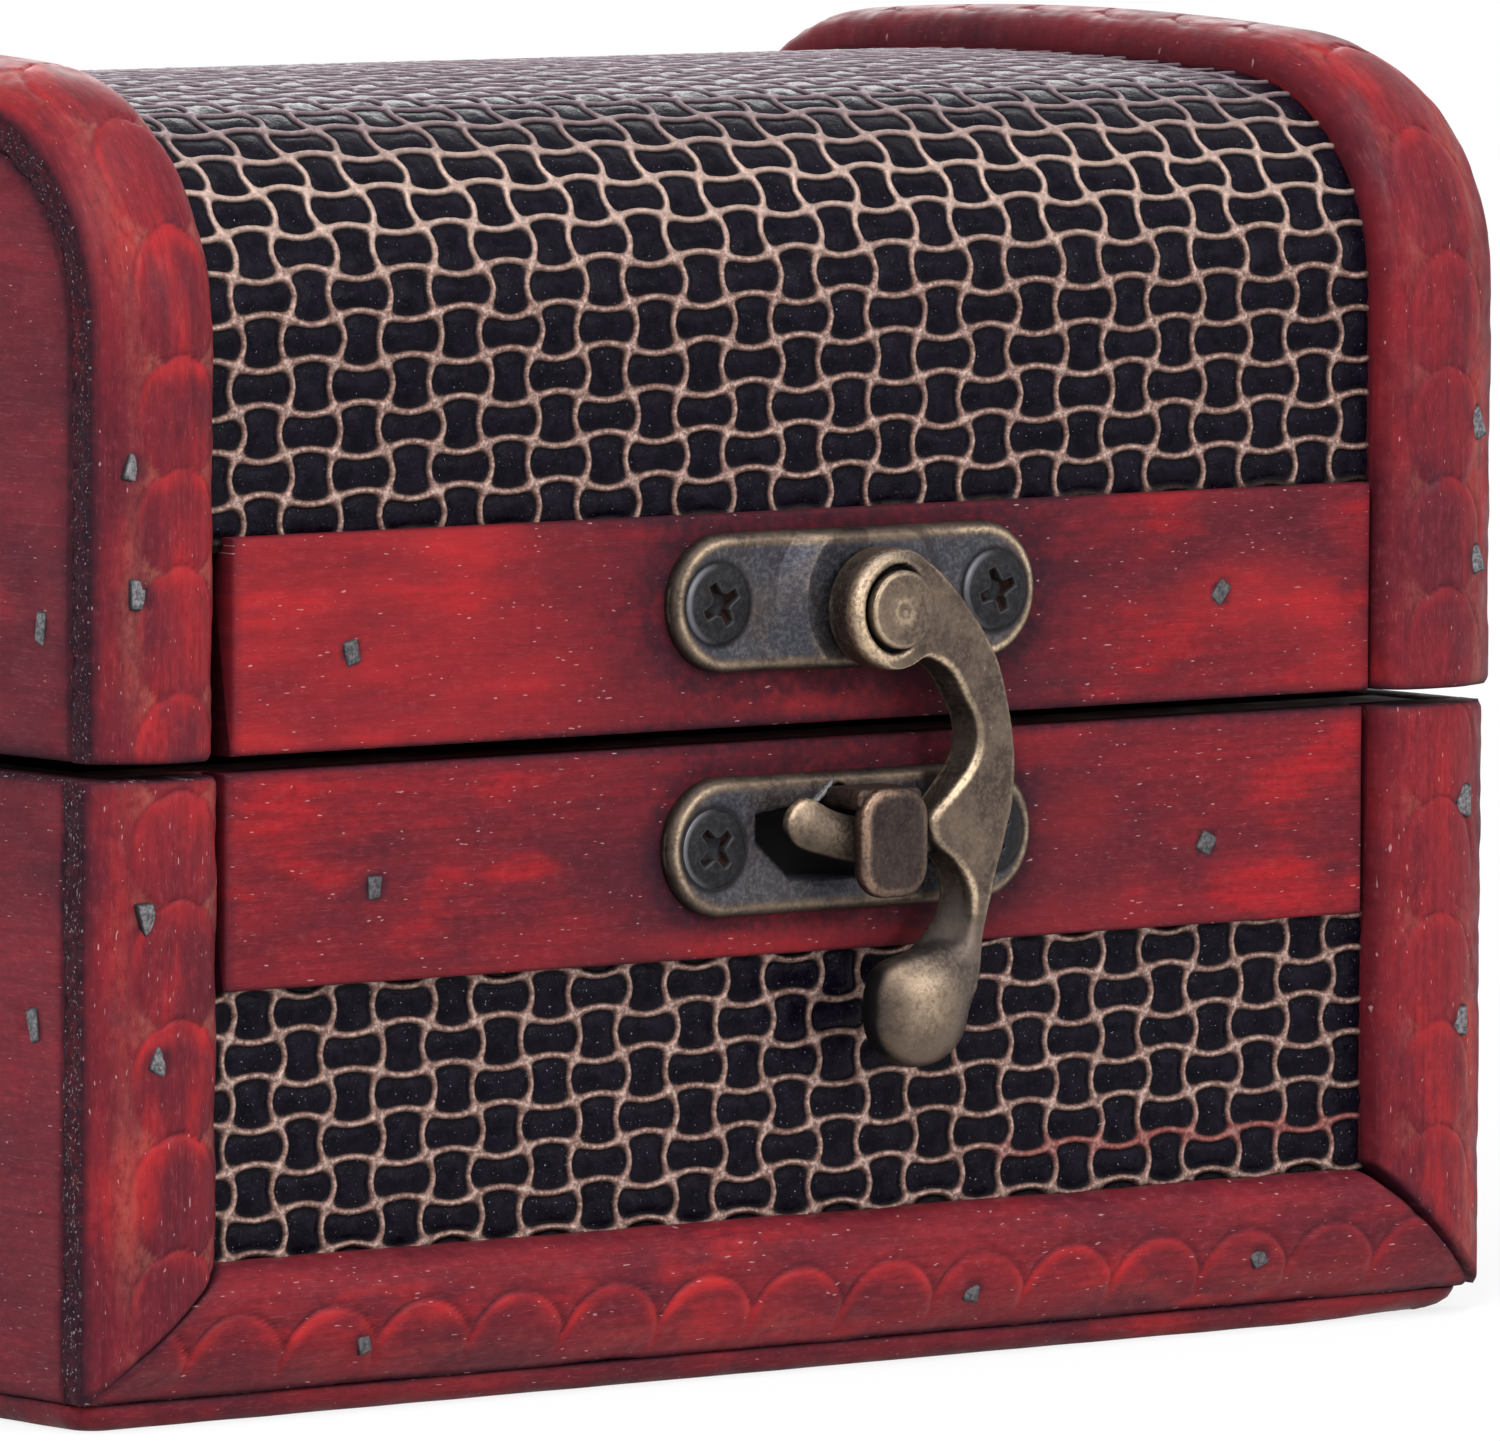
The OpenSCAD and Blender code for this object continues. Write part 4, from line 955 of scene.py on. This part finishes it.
def plate_piece(body, seed, shine):
    """A pressed latch plate: the lid's has a bridge for the hook, the base's a window."""
    end_r, ease = PLATE_W / 2, 0.55
    end_x = PLATE_L / 2 - end_r
    ends = end_x + end_r * np.sin(np.linspace(0, math.pi / 2, 30))
    xs = np.concatenate([-ends[::-1], np.linspace(-end_x, end_x, 170)[1:-1], ends])[:, None]
    over = np.maximum(np.abs(xs) - end_x, 0)
    half = np.sqrt(np.maximum(end_r ** 2 - over ** 2, 0)) + 1e-3
    x, z = np.broadcast_arrays(xs, half * np.sin(np.linspace(-math.pi / 2, math.pi / 2, 79)))
    rim = end_r - np.hypot(over, z)
    drop = ease - np.sqrt(np.maximum(ease ** 2 - np.maximum(ease - rim, 0) ** 2, 0))
    out = PLATE_T - drop - 0.06 * smooth(0.8, 2.2, rim)
    hole = np.zeros(x.shape)
    from_bridge = np.hypot(x - BRIDGE_X, z) - BRIDGE_R
    if body == "lid":
        ramp = np.clip(1 - from_bridge / BRIDGE_RAMP, 0, 1)
        out = out + ramp * ramp * (3 - 2 * ramp) * 0.3 + ramp * 0.7
    else:
        hole = smooth(-0.10, 0.10, inside_polygon(x, z, WINDOW))
    to_screw = np.min([np.hypot(x - centre, z) for centre in SCREW_PLACES], axis=0)
    sunk = np.maximum(hole, 1 - smooth(2.05, 2.30, to_screw))
    top = xyz(x, z, out * (1 - sunk) + 0.08 * sunk)
    rings = np.concatenate([top, xyz(xs, np.hstack([half, -half]), 0.0)], 1)

    # Gold on the rim, stronger at the ends: partly wear, partly a painted highlight.
    at_ends = 0.22 + 0.78 * smooth(7.5, 11.5, np.abs(x + 1.0))
    wear_and_sheen = 0.80 + 0.40 * waves(top, 7.0, seed)
    edge = np.clip(bump(rim - 0.50, 0.17) * wear_and_sheen * at_ends * shine, 0, 1)
    slate = smooth(0.62, 1.05, rim) * np.clip(0.85 + 0.3 * waves(top, 6.0, seed + 1), 0, 1)
    dark = 0.6 * bump(rim, 0.28) + 0.8 * bump(to_screw - SCREW_R - 0.05, 0.22)
    if body == "lid":
        # Painted highlights on the bridge's left ramp and its crease lines, brighter towards the
        # top.
        straight = (np.abs(z) < 3.5) & (x < 0)
        ramp_face = smooth(0.0, 0.2, from_bridge) * (1 - smooth(1.25, 1.5, from_bridge))
        edge += straight * (0.42 * bump(from_bridge, 0.13)
                            + 0.22 * bump(from_bridge - BRIDGE_RAMP, 0.12)
                            + 0.13 * ramp_face * smooth(-1.5, 2.5, z))
        dark += 0.30 * (1 - smooth(-0.5, -0.1, from_bridge)) * (x < 0)
    else:
        # The window is only sunk a little and painted near-black as painted shade, except along the
        # glint line.
        spot = top[..., :2] - GLINT_FROM
        share = np.clip(spot @ GLINT_ALONG / (GLINT_ALONG @ GLINT_ALONG), 0, 1)[..., None]
        dark += hole * (1 - bump(np.linalg.norm(spot - share * GLINT_ALONG, axis=-1), 0.16))
    add_piece(f"{PLATES[body]}_pressed", loft(on_front(rings, PLATE_ON[body])), BRASS, body,
              "brass", PLATES[body],
              edge=padded(edge, 2), slate=padded(slate, 2), dark=padded(dark, 2, 0.8))


def screw_piece(body, index, turn, stand):
    """A Phillips screw: a domed head with a cross recess."""
    radii = np.concatenate([[0.0], np.linspace(0.06, 2.0, 36), [2.15, 2.28, 2.38, 2.46, 2.5]])
    spin = np.linspace(0, 2 * math.pi, 140, endpoint=False)
    r = radii[:, None]
    x, z = r * np.cos(spin), r * np.sin(spin)
    cross_x = np.abs(x * math.cos(turn) + z * math.sin(turn))
    cross_z = np.abs(z * math.cos(turn) - x * math.sin(turn))
    longer, shorter = np.maximum(cross_x, cross_z), np.minimum(cross_x, cross_z)
    star = np.maximum(longer - 1.38, shorter - 0.42 + 0.10 * longer)
    inside = np.minimum(star, cross_x + cross_z - 0.95)
    recess = 1 - smooth(-0.09, 0.05, inside)
    dome = stand - 0.22 * (r / SCREW_R) ** 2 - 0.20 * smooth(2.15, 2.5, r) ** 2
    depth = 0.85 * recess * (1 - 0.5 * smooth(0.4, 1.4, r))
    rings = np.concatenate([xyz(x, z, dome - depth), xyz(x[-1:], z[-1:], PLATE_T - 0.35)])
    rings[0] = rings[0].mean(0)
    # Painted highlight on the head's left rim and round the recess.
    from_left = np.clip(-np.cos(spin), 0, 1)
    edge = 0.75 * bump(r - 2.36, 0.11) * from_left + 0.12 * bump(inside - 0.05, 0.07)
    at = (PLATE_ON[body][0] + SCREW_PLACES[index], PLATE_ON[body][1])
    # The recess is painted dark as painted shade.
    add_piece(f"{PLATES[body]}_screw_{index}", loft(on_front(rings, at)), SCREW, body,
              "black_screw", f"{PLATES[body]}_screws",
              dark=np.pad(0.95 * smooth(0.25, 0.8, recess), ((0, 1), (0, 0))),
              edge=np.pad(edge, ((0, 1), (0, 0))))


def rounded_block(name, half_w, low, high, corner, back, front, ease, worn, tone):
    """A copper-brown block with round corners and worn, rounded edges, over the catch plate."""
    centres, outward = round_corners(half_w, low, high, corner, 14)
    turn = np.linspace(0, math.pi / 2, 8)
    inwards, backwards = ease * (1 - np.cos(turn)), ease * (1 - np.sin(turn))
    inset = np.concatenate([inwards[::-1], inwards, ease + np.array([0.15, 0.35, 0.7, 1.1])])
    out = np.concatenate([back + backwards[::-1], front - backwards, [front] * 4])[:, None]
    inset = inset[:, None]
    to_middle = np.array([0.0, (low + high) / 2]) - centres
    flat = centres + to_middle * np.maximum(inset - corner, 0.0)[..., None] / half_w
    flat = flat + np.maximum(corner - inset, 0.05)[..., None] * outward
    rings = xyz(flat[..., 0], flat[..., 1], out)
    near = bump(np.maximum(front - out - ease * 0.5, 0), 0.25)
    near = near * bump(np.maximum(inset - ease, 0), 0.15)
    # Gold on the worn front edges, more on the left: partly wear, partly a painted highlight.
    left = 0.65 - 0.35 * np.sign(rings[..., 0])
    add_piece(name, loft(on_front(rings, CATCH)), COPPER, "base", "brass", "catch_plate",
              edge=worn * left * near * (0.85 + 0.3 * waves(rings, 3.0, 89)),
              dark=np.full(left.shape, tone))


def build_burr():
    """The bright sliver of torn metal that stands at the window's upper left corner."""
    x, y, z = np.moveaxis(ellipsoid((0.0, 0.0, 0.0), (1.55, 0.19, 0.35), 12, 24), -1, 0)
    lean = math.radians(38.0)
    bowed = y + 0.10 * x ** 2
    turned = xyz(x * math.cos(lean) - bowed * math.sin(lean),
                 x * math.sin(lean) + bowed * math.cos(lean), z)
    add_piece("catch_plate_burr", loft(on_front(turned + (-2.70, 2.85, 1.05), CATCH)), BRAD,
              "base", "brass", "catch_plate")


HOOK_BACK = 2.12
HOOK_FRONT = 4.42
HOOK_MIDDLE = 3.3
ARM_HEADING = -8.0
HOOK_SECTIONS = [
    # outer x, z, inner x, z, how far the inner wall leans in, front
    (0.9, 3.5, -0.9, -3.5, 0.10, 4.42),
    (3.0, 2.57, 0.29, -3.72, 0.10, 4.42),
    (5.15, 0.65, 1.6, -3.30, 0.15, 4.42),
    (7.0, -1.57, 3.0, -3.20, 0.25, 4.42),
    (8.21, -3.58, 4.45, -4.05, 0.35, 4.42),
    (8.95, -5.94, 5.45, -5.50, 0.40, 4.42),
    (9.37, -8.0, 6.40, -7.20, 0.42, 4.42),
    (9.54, -9.6, 6.50, -8.60, 0.42, 4.42),
    (9.52, -11.2, 5.88, -9.97, 0.40, 4.40),
    (9.35, -12.6, 4.60, -11.30, 0.30, 4.38),
    (9.00, -13.8, 3.0, -12.85, 0.15, 4.36),
    (8.70, -14.9, 3.2, -14.30, 0.15, 4.36),
    (8.20, -16.3, 5.0, -15.80, 0.45, 4.38),
    (7.85, -17.6, 5.95, -17.35, 0.75, 4.40),
    (7.55, -18.9, 6.10, -18.80, 1.20, 4.42),
    (7.20, -20.4, 5.60, -20.30, 1.90, 4.50),
    (6.85, -22.0, 4.5, -21.7, 2.40, 4.75),
    (6.30, -23.8, 3.2, -23.0, 2.00, 5.00),
]
LOBES = [
    # centre right, up, out, and the three radii: the arm's root, then the knob from its foot
    (4.9, -13.75, 2.95, 2.6, 1.5, 0.85),
    (4.4, -22.5, 3.35, 2.7, 1.8, 1.6),
    (2.95, -23.7, 3.4, 3.85, 2.75, 2.05),
    (1.2, -23.1, 3.35, 2.25, 1.8, 1.75),
    (2.35, -23.9, 3.4, 3.7, 2.8, 2.05),
    (2.5, -25.1, 3.4, 3.85, 3.15, 2.05),
]
HUB = [(0.01, 2.1), (3.35, 2.1), (3.62, 2.25), (3.75, 2.6), (3.75, 4.1), (3.68, 4.5),
       (3.50, 4.80), (3.25, 4.98), (0.01, 4.98)]
RIVET = [(0.01, 1.2), (1.6, 1.2), (1.6, 4.4), (2.25, 4.4), (2.4, 4.52), (2.4, 5.02), (2.35, 5.12),
         (2.22, 5.19), (2.05, 5.2), (1.6, 5.17), (1.2, 5.16), (0.75, 5.15), (0.62, 5.10),
         (0.5, 5.14), (0.35, 5.15), (0.22, 5.10), (0.01, 5.08)]
PRONG_R = 14.2
PRONG_TIP = math.radians(24.6)
PRONG_HALF = 1.42
SKIN_VOXEL = 0.13


def dense(values, count):
    """A smooth curve through rows of values."""
    values = np.asarray(values, float)
    step = np.linalg.norm(np.diff(values[:, :2], axis=0), axis=1)
    t = np.concatenate([[0.0], np.cumsum(step)])
    slopes = np.gradient(values, t, axis=0)
    at = np.linspace(0, t[-1], count)
    k = np.clip(np.searchsorted(t, at, "right") - 1, 0, len(t) - 2)
    h = (t[k + 1] - t[k])[:, None]
    u = (at - t[k])[:, None] / h
    return ((2 * u ** 3 - 3 * u ** 2 + 1) * values[k] + (u ** 3 - 2 * u ** 2 + u) * h * slopes[k]
            + (3 * u ** 2 - 2 * u ** 3) * values[k + 1] + (u ** 3 - u ** 2) * h * slopes[k + 1])


HOOK_LINE = dense(HOOK_SECTIONS, 120)


def arm_rings():
    """Cross-sections of the hook's flat arm, with a small bevel on its inner edge."""
    outer_x, outer_z, inner_x, inner_z, lean, front = HOOK_LINE.T[:, :, None]
    width = np.hypot(inner_x - outer_x, inner_z - outer_z)
    deep, crisp, bevel, under = width + lean, 0.22, np.minimum(0.50, width * 0.3), 0.40
    turn = np.linspace(0, math.pi / 2, 5)
    short, long = 1 - np.cos(turn), 1 - np.sin(turn)
    share = np.hstack([crisp * short + 0 * width, width - bevel * long, deep - under * short,
                       under * long + 0 * width]) / width
    out = np.hstack([front - crisp * long, front - bevel * short,
                     HOOK_BACK + under * long + 0 * width, HOOK_BACK + under * short + 0 * width])
    return xyz(outer_x + (inner_x - outer_x) * share, outer_z + (inner_z - outer_z) * share, out)


def prong_rings():
    """The curved prong that passes behind the catch's head, with a bulbous tip."""
    round_tip = PRONG_HALF * 1.12 / PRONG_R
    tip = PRONG_TIP + round_tip * np.sin(np.linspace(0, math.pi / 2, 12))
    stem = np.linspace(math.radians(-25.0), PRONG_TIP, 50)[:-1]
    a = np.concatenate([stem, tip])[:, None]
    lon = np.linspace(0, 2 * math.pi, 32, endpoint=False)
    swell = 1.0 + 0.12 * smooth(math.radians(15), math.radians(25), a)
    shrink = np.sqrt(1 - np.clip((a - PRONG_TIP) / round_tip, 0, 1) ** 2)
    r = PRONG_R + (PRONG_HALF * swell * shrink + 0.01) * np.cos(lon)
    return xyz(-r * np.sin(a), -r * np.cos(a), 2.95 + (0.84 * shrink + 0.01) * np.sin(lon))


def remeshed(parts):
    """One skin round overlapping closed parts, smoothed, as points and faces."""
    rough = make_object("hook_rough", merged(parts), BRASS, {})
    fix_normals(rough)
    modifier = rough.modifiers.new("skin", "REMESH")
    modifier.mode = "VOXEL"
    modifier.voxel_size = SKIN_VOXEL * MM
    soften = rough.modifiers.new("soften", "SMOOTH")
    soften.factor = 0.5
    soften.iterations = 4
    graph = bpy.context.evaluated_depsgraph_get()
    done = bpy.data.meshes.new_from_object(rough.evaluated_get(graph))
    bpy.data.objects.remove(rough)
    points = np.zeros(len(done.vertices) * 3)
    done.vertices.foreach_get("co", points)
    return points.reshape(-1, 3) / MM, [list(p.vertices) for p in done.polygons]


def edge_pairs(faces):
    """The vertex pairs that share an edge."""
    pairs = {(min(pair), max(pair)) for face in faces for pair in zip(face, face[1:] + face[:1])}
    return np.array(sorted(pairs))


def neighbours(values, pairs):
    """Each vertex's mean over its neighbours."""
    total = np.zeros_like(values)
    count = np.zeros(len(values))
    np.add.at(total, pairs[:, 0], values[pairs[:, 1]])
    np.add.at(total, pairs[:, 1], values[pairs[:, 0]])
    np.add.at(count, pairs.ravel(), 1.0)
    return total / (count[:, None] if values.ndim == 2 else count)


def curvature(verts, faces, pairs):
    """Positive on convex edges and negative in hollows, evened out; and the normals."""
    normals = np.zeros_like(verts)
    corner = np.array([face[:3] for face in faces])
    first, second, third = verts[corner].transpose(1, 0, 2)
    cross = np.cross(second - first, third - first)
    for column in corner.T:
        np.add.at(normals, column, cross)
    normals /= np.maximum(np.linalg.norm(normals, axis=1, keepdims=True), 1e-9)
    bend = ((verts - neighbours(verts, pairs)) * normals).sum(1)
    for _ in range(4):
        bend = 0.5 * bend + 0.5 * neighbours(bend, pairs)
    if (normals[:, 2] * (verts[:, 2] - HOOK_MIDDLE)).mean() < 0:
        bend, normals = -bend, -normals
    return bend, normals


def inside_hook(verts):
    """How far points lie on the side of the arm that faces the catch, negative on the other."""
    middle = (HOOK_LINE[:, :2] + HOOK_LINE[:, 2:4]) / 2
    inward = HOOK_LINE[:, 2:4] - HOOK_LINE[:, :2]
    away = np.hypot(verts[:, :1] - middle[:, 0], verts[:, 1:2] - middle[:, 1])
    nearest = away.argmin(1)
    return ((verts[:, :2] - middle[nearest]) * inward[nearest]).sum(1)


def build_hook():
    parts = [lathe(HUB), loft(arm_rings()), loft(prong_rings())]
    parts += [loft(ellipsoid(lobe[:3], lobe[3:])) for lobe in LOBES]
    verts, faces = remeshed(parts)
    pairs = edge_pairs(faces)
    loose = smooth(-17.6, -20.6, verts[:, 1])[:, None] * 0.5
    for _ in range(34):
        verts = verts + loose * (neighbours(verts, pairs) - verts)
    x, up, out = verts.T
    radius = np.hypot(x, up)
    turned = np.abs(np.degrees(np.arctan2(up, x)) - ARM_HEADING)
    left = smooth(62.0, 118.0, turned)
    crown = np.sqrt(np.clip(1 - ((radius - 3.22) / 0.62) ** 2, 0, 1))
    crest = HOOK_FRONT + 0.56 * left * crown
    recess = HOOK_FRONT - 0.34 * smooth(2.95, 2.62, radius) * smooth(40.0, 90.0, turned)
    level = np.where(radius < 2.75, recess, crest)
    out = np.where((radius < 3.9) & (out > 3.9), np.minimum(out, level), out)
    verts[:, 2] = out

    bend, normals = curvature(verts, faces, pairs)
    bend = bend / np.quantile(np.abs(bend), 0.93)
    uneven = 0.5 + 0.5 * waves(verts, 4.0, 81)
    inner = smooth(0.0, 0.5, inside_hook(verts))
    # Gold on convex edges, most on the inner ones: partly wear, partly a painted highlight.
    edge = smooth(0.25, 1.05, bend) * (0.40 + 0.60 * uneven) * (0.30 + 0.70 * inner)
    # Painted highlights on the hub's rim at the left, the knob's front and the prong's front faces.
    edge += 0.75 * left * bump(radius - 3.2, 0.5) * (out > 4.2) * (0.6 + 0.4 * uneven)
    knob = bump(np.hypot(x - 2.1, up + 23.1), 2.0) * smooth(3.6, 5.0, out)
    edge += 0.60 * knob * (0.5 + 0.5 * uneven)
    prong = (x < 1.5) & (up < -11.0) & (up > -16.5)
    edge += 0.26 * prong * normals[:, 2].clip(0, 1) * uneven
    # Dark in the hollows; painted shade beside the rivet, under the prong, on the knob's left side
    # and on the side walls; dark blotches on the knob.
    dark = 0.8 * smooth(0.15, 0.9, -bend)
    dark += 0.95 * (1 - smooth(2.62, 2.80, radius)) * (out > 3.9) * smooth(35.0, 70.0, turned)
    dark += 0.5 * prong * (1 - smooth(-0.5, 0.1, normals[:, 1]))
    dark += 0.30 * smooth(0.5, 1.6, waves(verts, 2.4, 84)) * (up < -19.0)
    dark += 0.55 * (up < -20.5) * (1 - smooth(-1.6, 0.9, x))
    low_arm = inner * (up < -16.0) * (1 - smooth(-20.0, -21.6, up))
    wall = 1 - smooth(0.35 + 0.3 * low_arm, 0.75 + 0.22 * low_arm, normals[:, 2])
    dark += wall * np.where(radius > 3.9, 0.62, 0.35 * (1 - smooth(3.4, 4.4, out)))
    add_piece("swing_hook_cast", (on_front(verts, PIVOT), faces), BRASS, "hook", "brass",
              "swing_hook", edge=edge, slate=0.25 * np.clip(waves(verts, 9.0, 83), 0, 1),
              dark=dark)


def build_rivet():
    verts, faces = lathe(RIVET)
    x, _, out = verts.T
    radius = np.hypot(x, verts[:, 1])
    left = np.clip(0.5 - 0.5 * x / np.maximum(radius, 0.1), 0, 1)
    lit = 0.06 + 0.7 * bump(radius - 2.25, 0.12) * left + 0.3 * bump(radius - 0.6, 0.2)
    add_piece("rivet_turned", (on_front(verts, PIVOT), faces), BRASS, "lid", "brass",
              "hook_rivet", 50, edge=np.where(out > 4.9, lit, 0.05),
              dark=np.where(out < 4.6, 0.9, 0.0))


def build_latch():
    plate_piece("lid", 85, 1.0)
    plate_piece("base", 87, 0.55)
    rounded_block("catch_stem", 2.5, 2.1, 3.4, 0.5, 0.3, 4.6, 0.25, 0.3, 0.35)
    rounded_block("catch_head", 2.6, -3.25, 3.45, 1.95, 4.0, 5.2, 0.42, 0.6, 0.0)
    build_burr()
    for index, turn in enumerate((0.50, 0.35)):
        screw_piece("lid", index, turn, 1.42)
        screw_piece("base", index, turn + 0.2, 1.32)
    build_hook()
    build_rivet()


# Brad heads

BRAD_REACH = 1.25
BRAD_LAYERS = [
    # scale, height, darkness
    (0.75, -3.0, 1.0), (1.22, -0.55, 1.0), (1.14, -0.20, 0.95), (1.03, -0.14, 0.7),
    (0.92, -0.11, 0.05), (0.5, -0.09, 0.0), (0.12, -0.10, 0.1),
]


def brad_piece(body, seed):
    """Crushed, four-cornered heads, each with a few millimetres of shank in the wood."""
    rng = np.random.default_rng(seed)
    parts, dark = [], []
    turn = np.linspace(0, 2 * math.pi, 40, endpoint=False)
    scale, out, tone = np.array(BRAD_LAYERS).T[:, :, None]
    up = np.array([0.0, 0.0, 1.0])
    for centre, outward in BRADS[body]:
        across = np.cross(outward, up)
        length, width = rng.uniform(0.80, 0.95), rng.uniform(0.56, 0.70)
        in_rail = abs(centre[1]) > RAIL_FACE - 0.3 and abs(centre[0]) < RAIL_HALF_L
        if in_rail:
            length, width = length * 0.7, width * 1.05
        lean = rng.uniform(-0.55, 0.55)
        corners = np.array([0.62, 2.35, 3.70, 5.55]) + rng.uniform(-0.22, 0.22, 4)
        far = np.stack([np.cos(corners), np.sin(corners)], -1) * rng.uniform(1.15, 1.35, (4, 1))
        side = np.roll(far, -1, 0) - far
        normal = np.stack([side[:, 1], -side[:, 0]], -1)
        facing = np.stack([np.cos(turn), np.sin(turn)], -1) @ normal.T
        span = (far * normal).sum(1) / np.maximum(facing, 0.05)
        span = np.where((facing > 0.05) & (span > 0), span, BRAD_REACH)
        reach = np.minimum(span.min(1), BRAD_REACH)
        u, v = length * reach * np.cos(turn), width * reach * np.sin(turn)
        u, v = u * math.cos(lean) - v * math.sin(lean), u * math.sin(lean) + v * math.cos(lean)
        tilt = rng.uniform(-0.04, 0.04, 2)
        lift = np.minimum(out + (tilt[0] * u + tilt[1] * v) * (out > -0.3), 0.0)
        rings = centre + (u * scale)[..., None] * up + (v * scale)[..., None] * across
        parts.append(loft(rings + lift[..., None] * outward))
        dark.append(np.repeat(np.maximum(tone, 0.45 if in_rail else 0.0), len(turn)))
    add_piece(f"{body}_brad_heads", merged(parts), BRAD, body, "steel", f"{body}_brads", 60,
              dark=np.concatenate(dark))


# CAD pieces that stay get their materials

def set_material(name, material):
    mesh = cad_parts[name].data
    mesh.materials.clear()
    mesh.materials.append(material)


def dress_cad_nodes():
    for name in ("base_front_board", "base_back_board", "lid_front_board", "lid_back_board",
                 "lid_top_sheet"):
        set_material(name, WOOD_INNER)
    for _, word in SIDES:
        for part in ("base_leaf", "lid_leaf", "pin"):
            set_material(f"{word}_hinge_{part}", BRASS)
    for name in ("hinge_base_screws", "hinge_lid_screws"):
        set_material(name, SCREW)


# Stage: floor, light and camera

WHITE = (1.0, 1.0, 1.0, 1.0)
WORLD_LIGHT = 0.50
FLOOR_HALF = 3000.0
BOX_MIDDLE = (0.0, 0.0, 0.04)
LIGHTS = [
    # name, place, size, power
    ("key_softbox", (-0.70, -0.62, 0.72), (0.30, 0.30), 7.0),
    ("front_softbox", (0.35, -1.10, 0.45), (0.5, 0.4), 4.5),
    ("top_softbox", (-0.05, -0.30, 0.95), (0.6, 0.4), 4.5),
    ("back_softbox", (0.55, 0.85, 0.55), (0.6, 0.5), 3.5),
]


def is_seen_ray(s):
    """1 for rays from the camera, and for reflections and refractions."""
    path = s.node("LightPath")
    seen = s.math("MAXIMUM", path.outputs["Is Camera Ray"], path.outputs["Is Glossy Ray"])
    return s.math("MAXIMUM", seen, path.outputs["Is Transmission Ray"])


def build_floor():
    s = new_shader("pale_floor")
    body = s.node("BsdfDiffuse", Color=(0.86, 0.86, 0.86, 1.0))
    glow = s.node("Emission", Color=WHITE, Strength=1.0)
    away = s.node("VectorMath", {"operation": "LENGTH"})
    s.set(away.inputs[0], s.node("TexCoord").outputs["Object"])
    share = s.times(is_seen_ray(s), s.step(away.outputs["Value"], 0.085, 0.24, 0.78, 1.0))
    s.node("OutputMaterial", Surface=s.mix_shaders(share, body, glow))
    corners = [(x * FLOOR_HALF, y * FLOOR_HALF, 0) for x, y in ((-1, -1), (1, -1), (1, 1), (-1, 1))]
    floor = make_object("floor", (corners, [[0, 1, 2, 3]]), s.owner, {})


def build_world():
    world = bpy.data.worlds.new("studio")
    bpy.context.scene.world = world
    s = Shader(world)
    lit = s.node("Background", Color=(0.95, 0.97, 1.0, 1.0), Strength=WORLD_LIGHT)
    white = s.node("Background", Color=WHITE, Strength=1.0)
    s.node("OutputWorld", Surface=s.mix_shaders(is_seen_ray(s), lit, white))


def build_lights():
    for name, location, size, power in LIGHTS:
        lamp = bpy.data.lights.new(name, "AREA")
        lamp.shape = "RECTANGLE"
        lamp.size, lamp.size_y = size
        lamp.energy = power
        thing = bpy.data.objects.new(name, lamp)
        thing.location = location
        aim = Vector(BOX_MIDDLE) - Vector(location)
        thing.rotation_euler = aim.to_track_quat("-Z", "Y").to_euler()
        bpy.context.scene.collection.objects.link(thing)


def build_camera():
    """The photograph's viewpoint, fitted to the box's edges."""
    yaw, down, roll = math.radians(39.0975), math.radians(4.5681), math.radians(0.3265)
    focal_px, frame_px, sensor = 17182.9, 1500.0, 36.0
    forward = Vector((math.sin(yaw) * math.cos(down), math.cos(yaw) * math.cos(down),
                      -math.sin(down)))
    right = Vector((math.cos(yaw), -math.sin(yaw), 0.0))
    up = right.cross(forward)
    right_rolled = right * math.cos(roll) + up * math.sin(roll)
    up_rolled = up * math.cos(roll) - right * math.sin(roll)
    camera = bpy.data.cameras.new("photo_camera")
    camera.sensor_fit = "HORIZONTAL"
    camera.sensor_width = sensor
    camera.lens = focal_px / frame_px * sensor
    camera.clip_start = 0.05
    camera.clip_end = 20.0
    thing = bpy.data.objects.new("photo_camera", camera)
    turn = Matrix((right_rolled, up_rolled, -forward)).transposed().to_4x4()
    thing.matrix_world = Matrix.Translation((-0.66052, -0.84018, 0.12316)) @ turn
    bpy.context.scene.collection.objects.link(thing)
    bpy.context.scene.camera = thing


build_mouldings()
build_rails_and_ends()
build_bottom_board()
build_coverings()
build_latch()
brad_piece("base", 91)
brad_piece("lid", 92)
dress_cad_nodes()
build_floor()
build_world()
build_lights()
build_camera()
bpy.context.scene.view_settings.view_transform = "Standard"
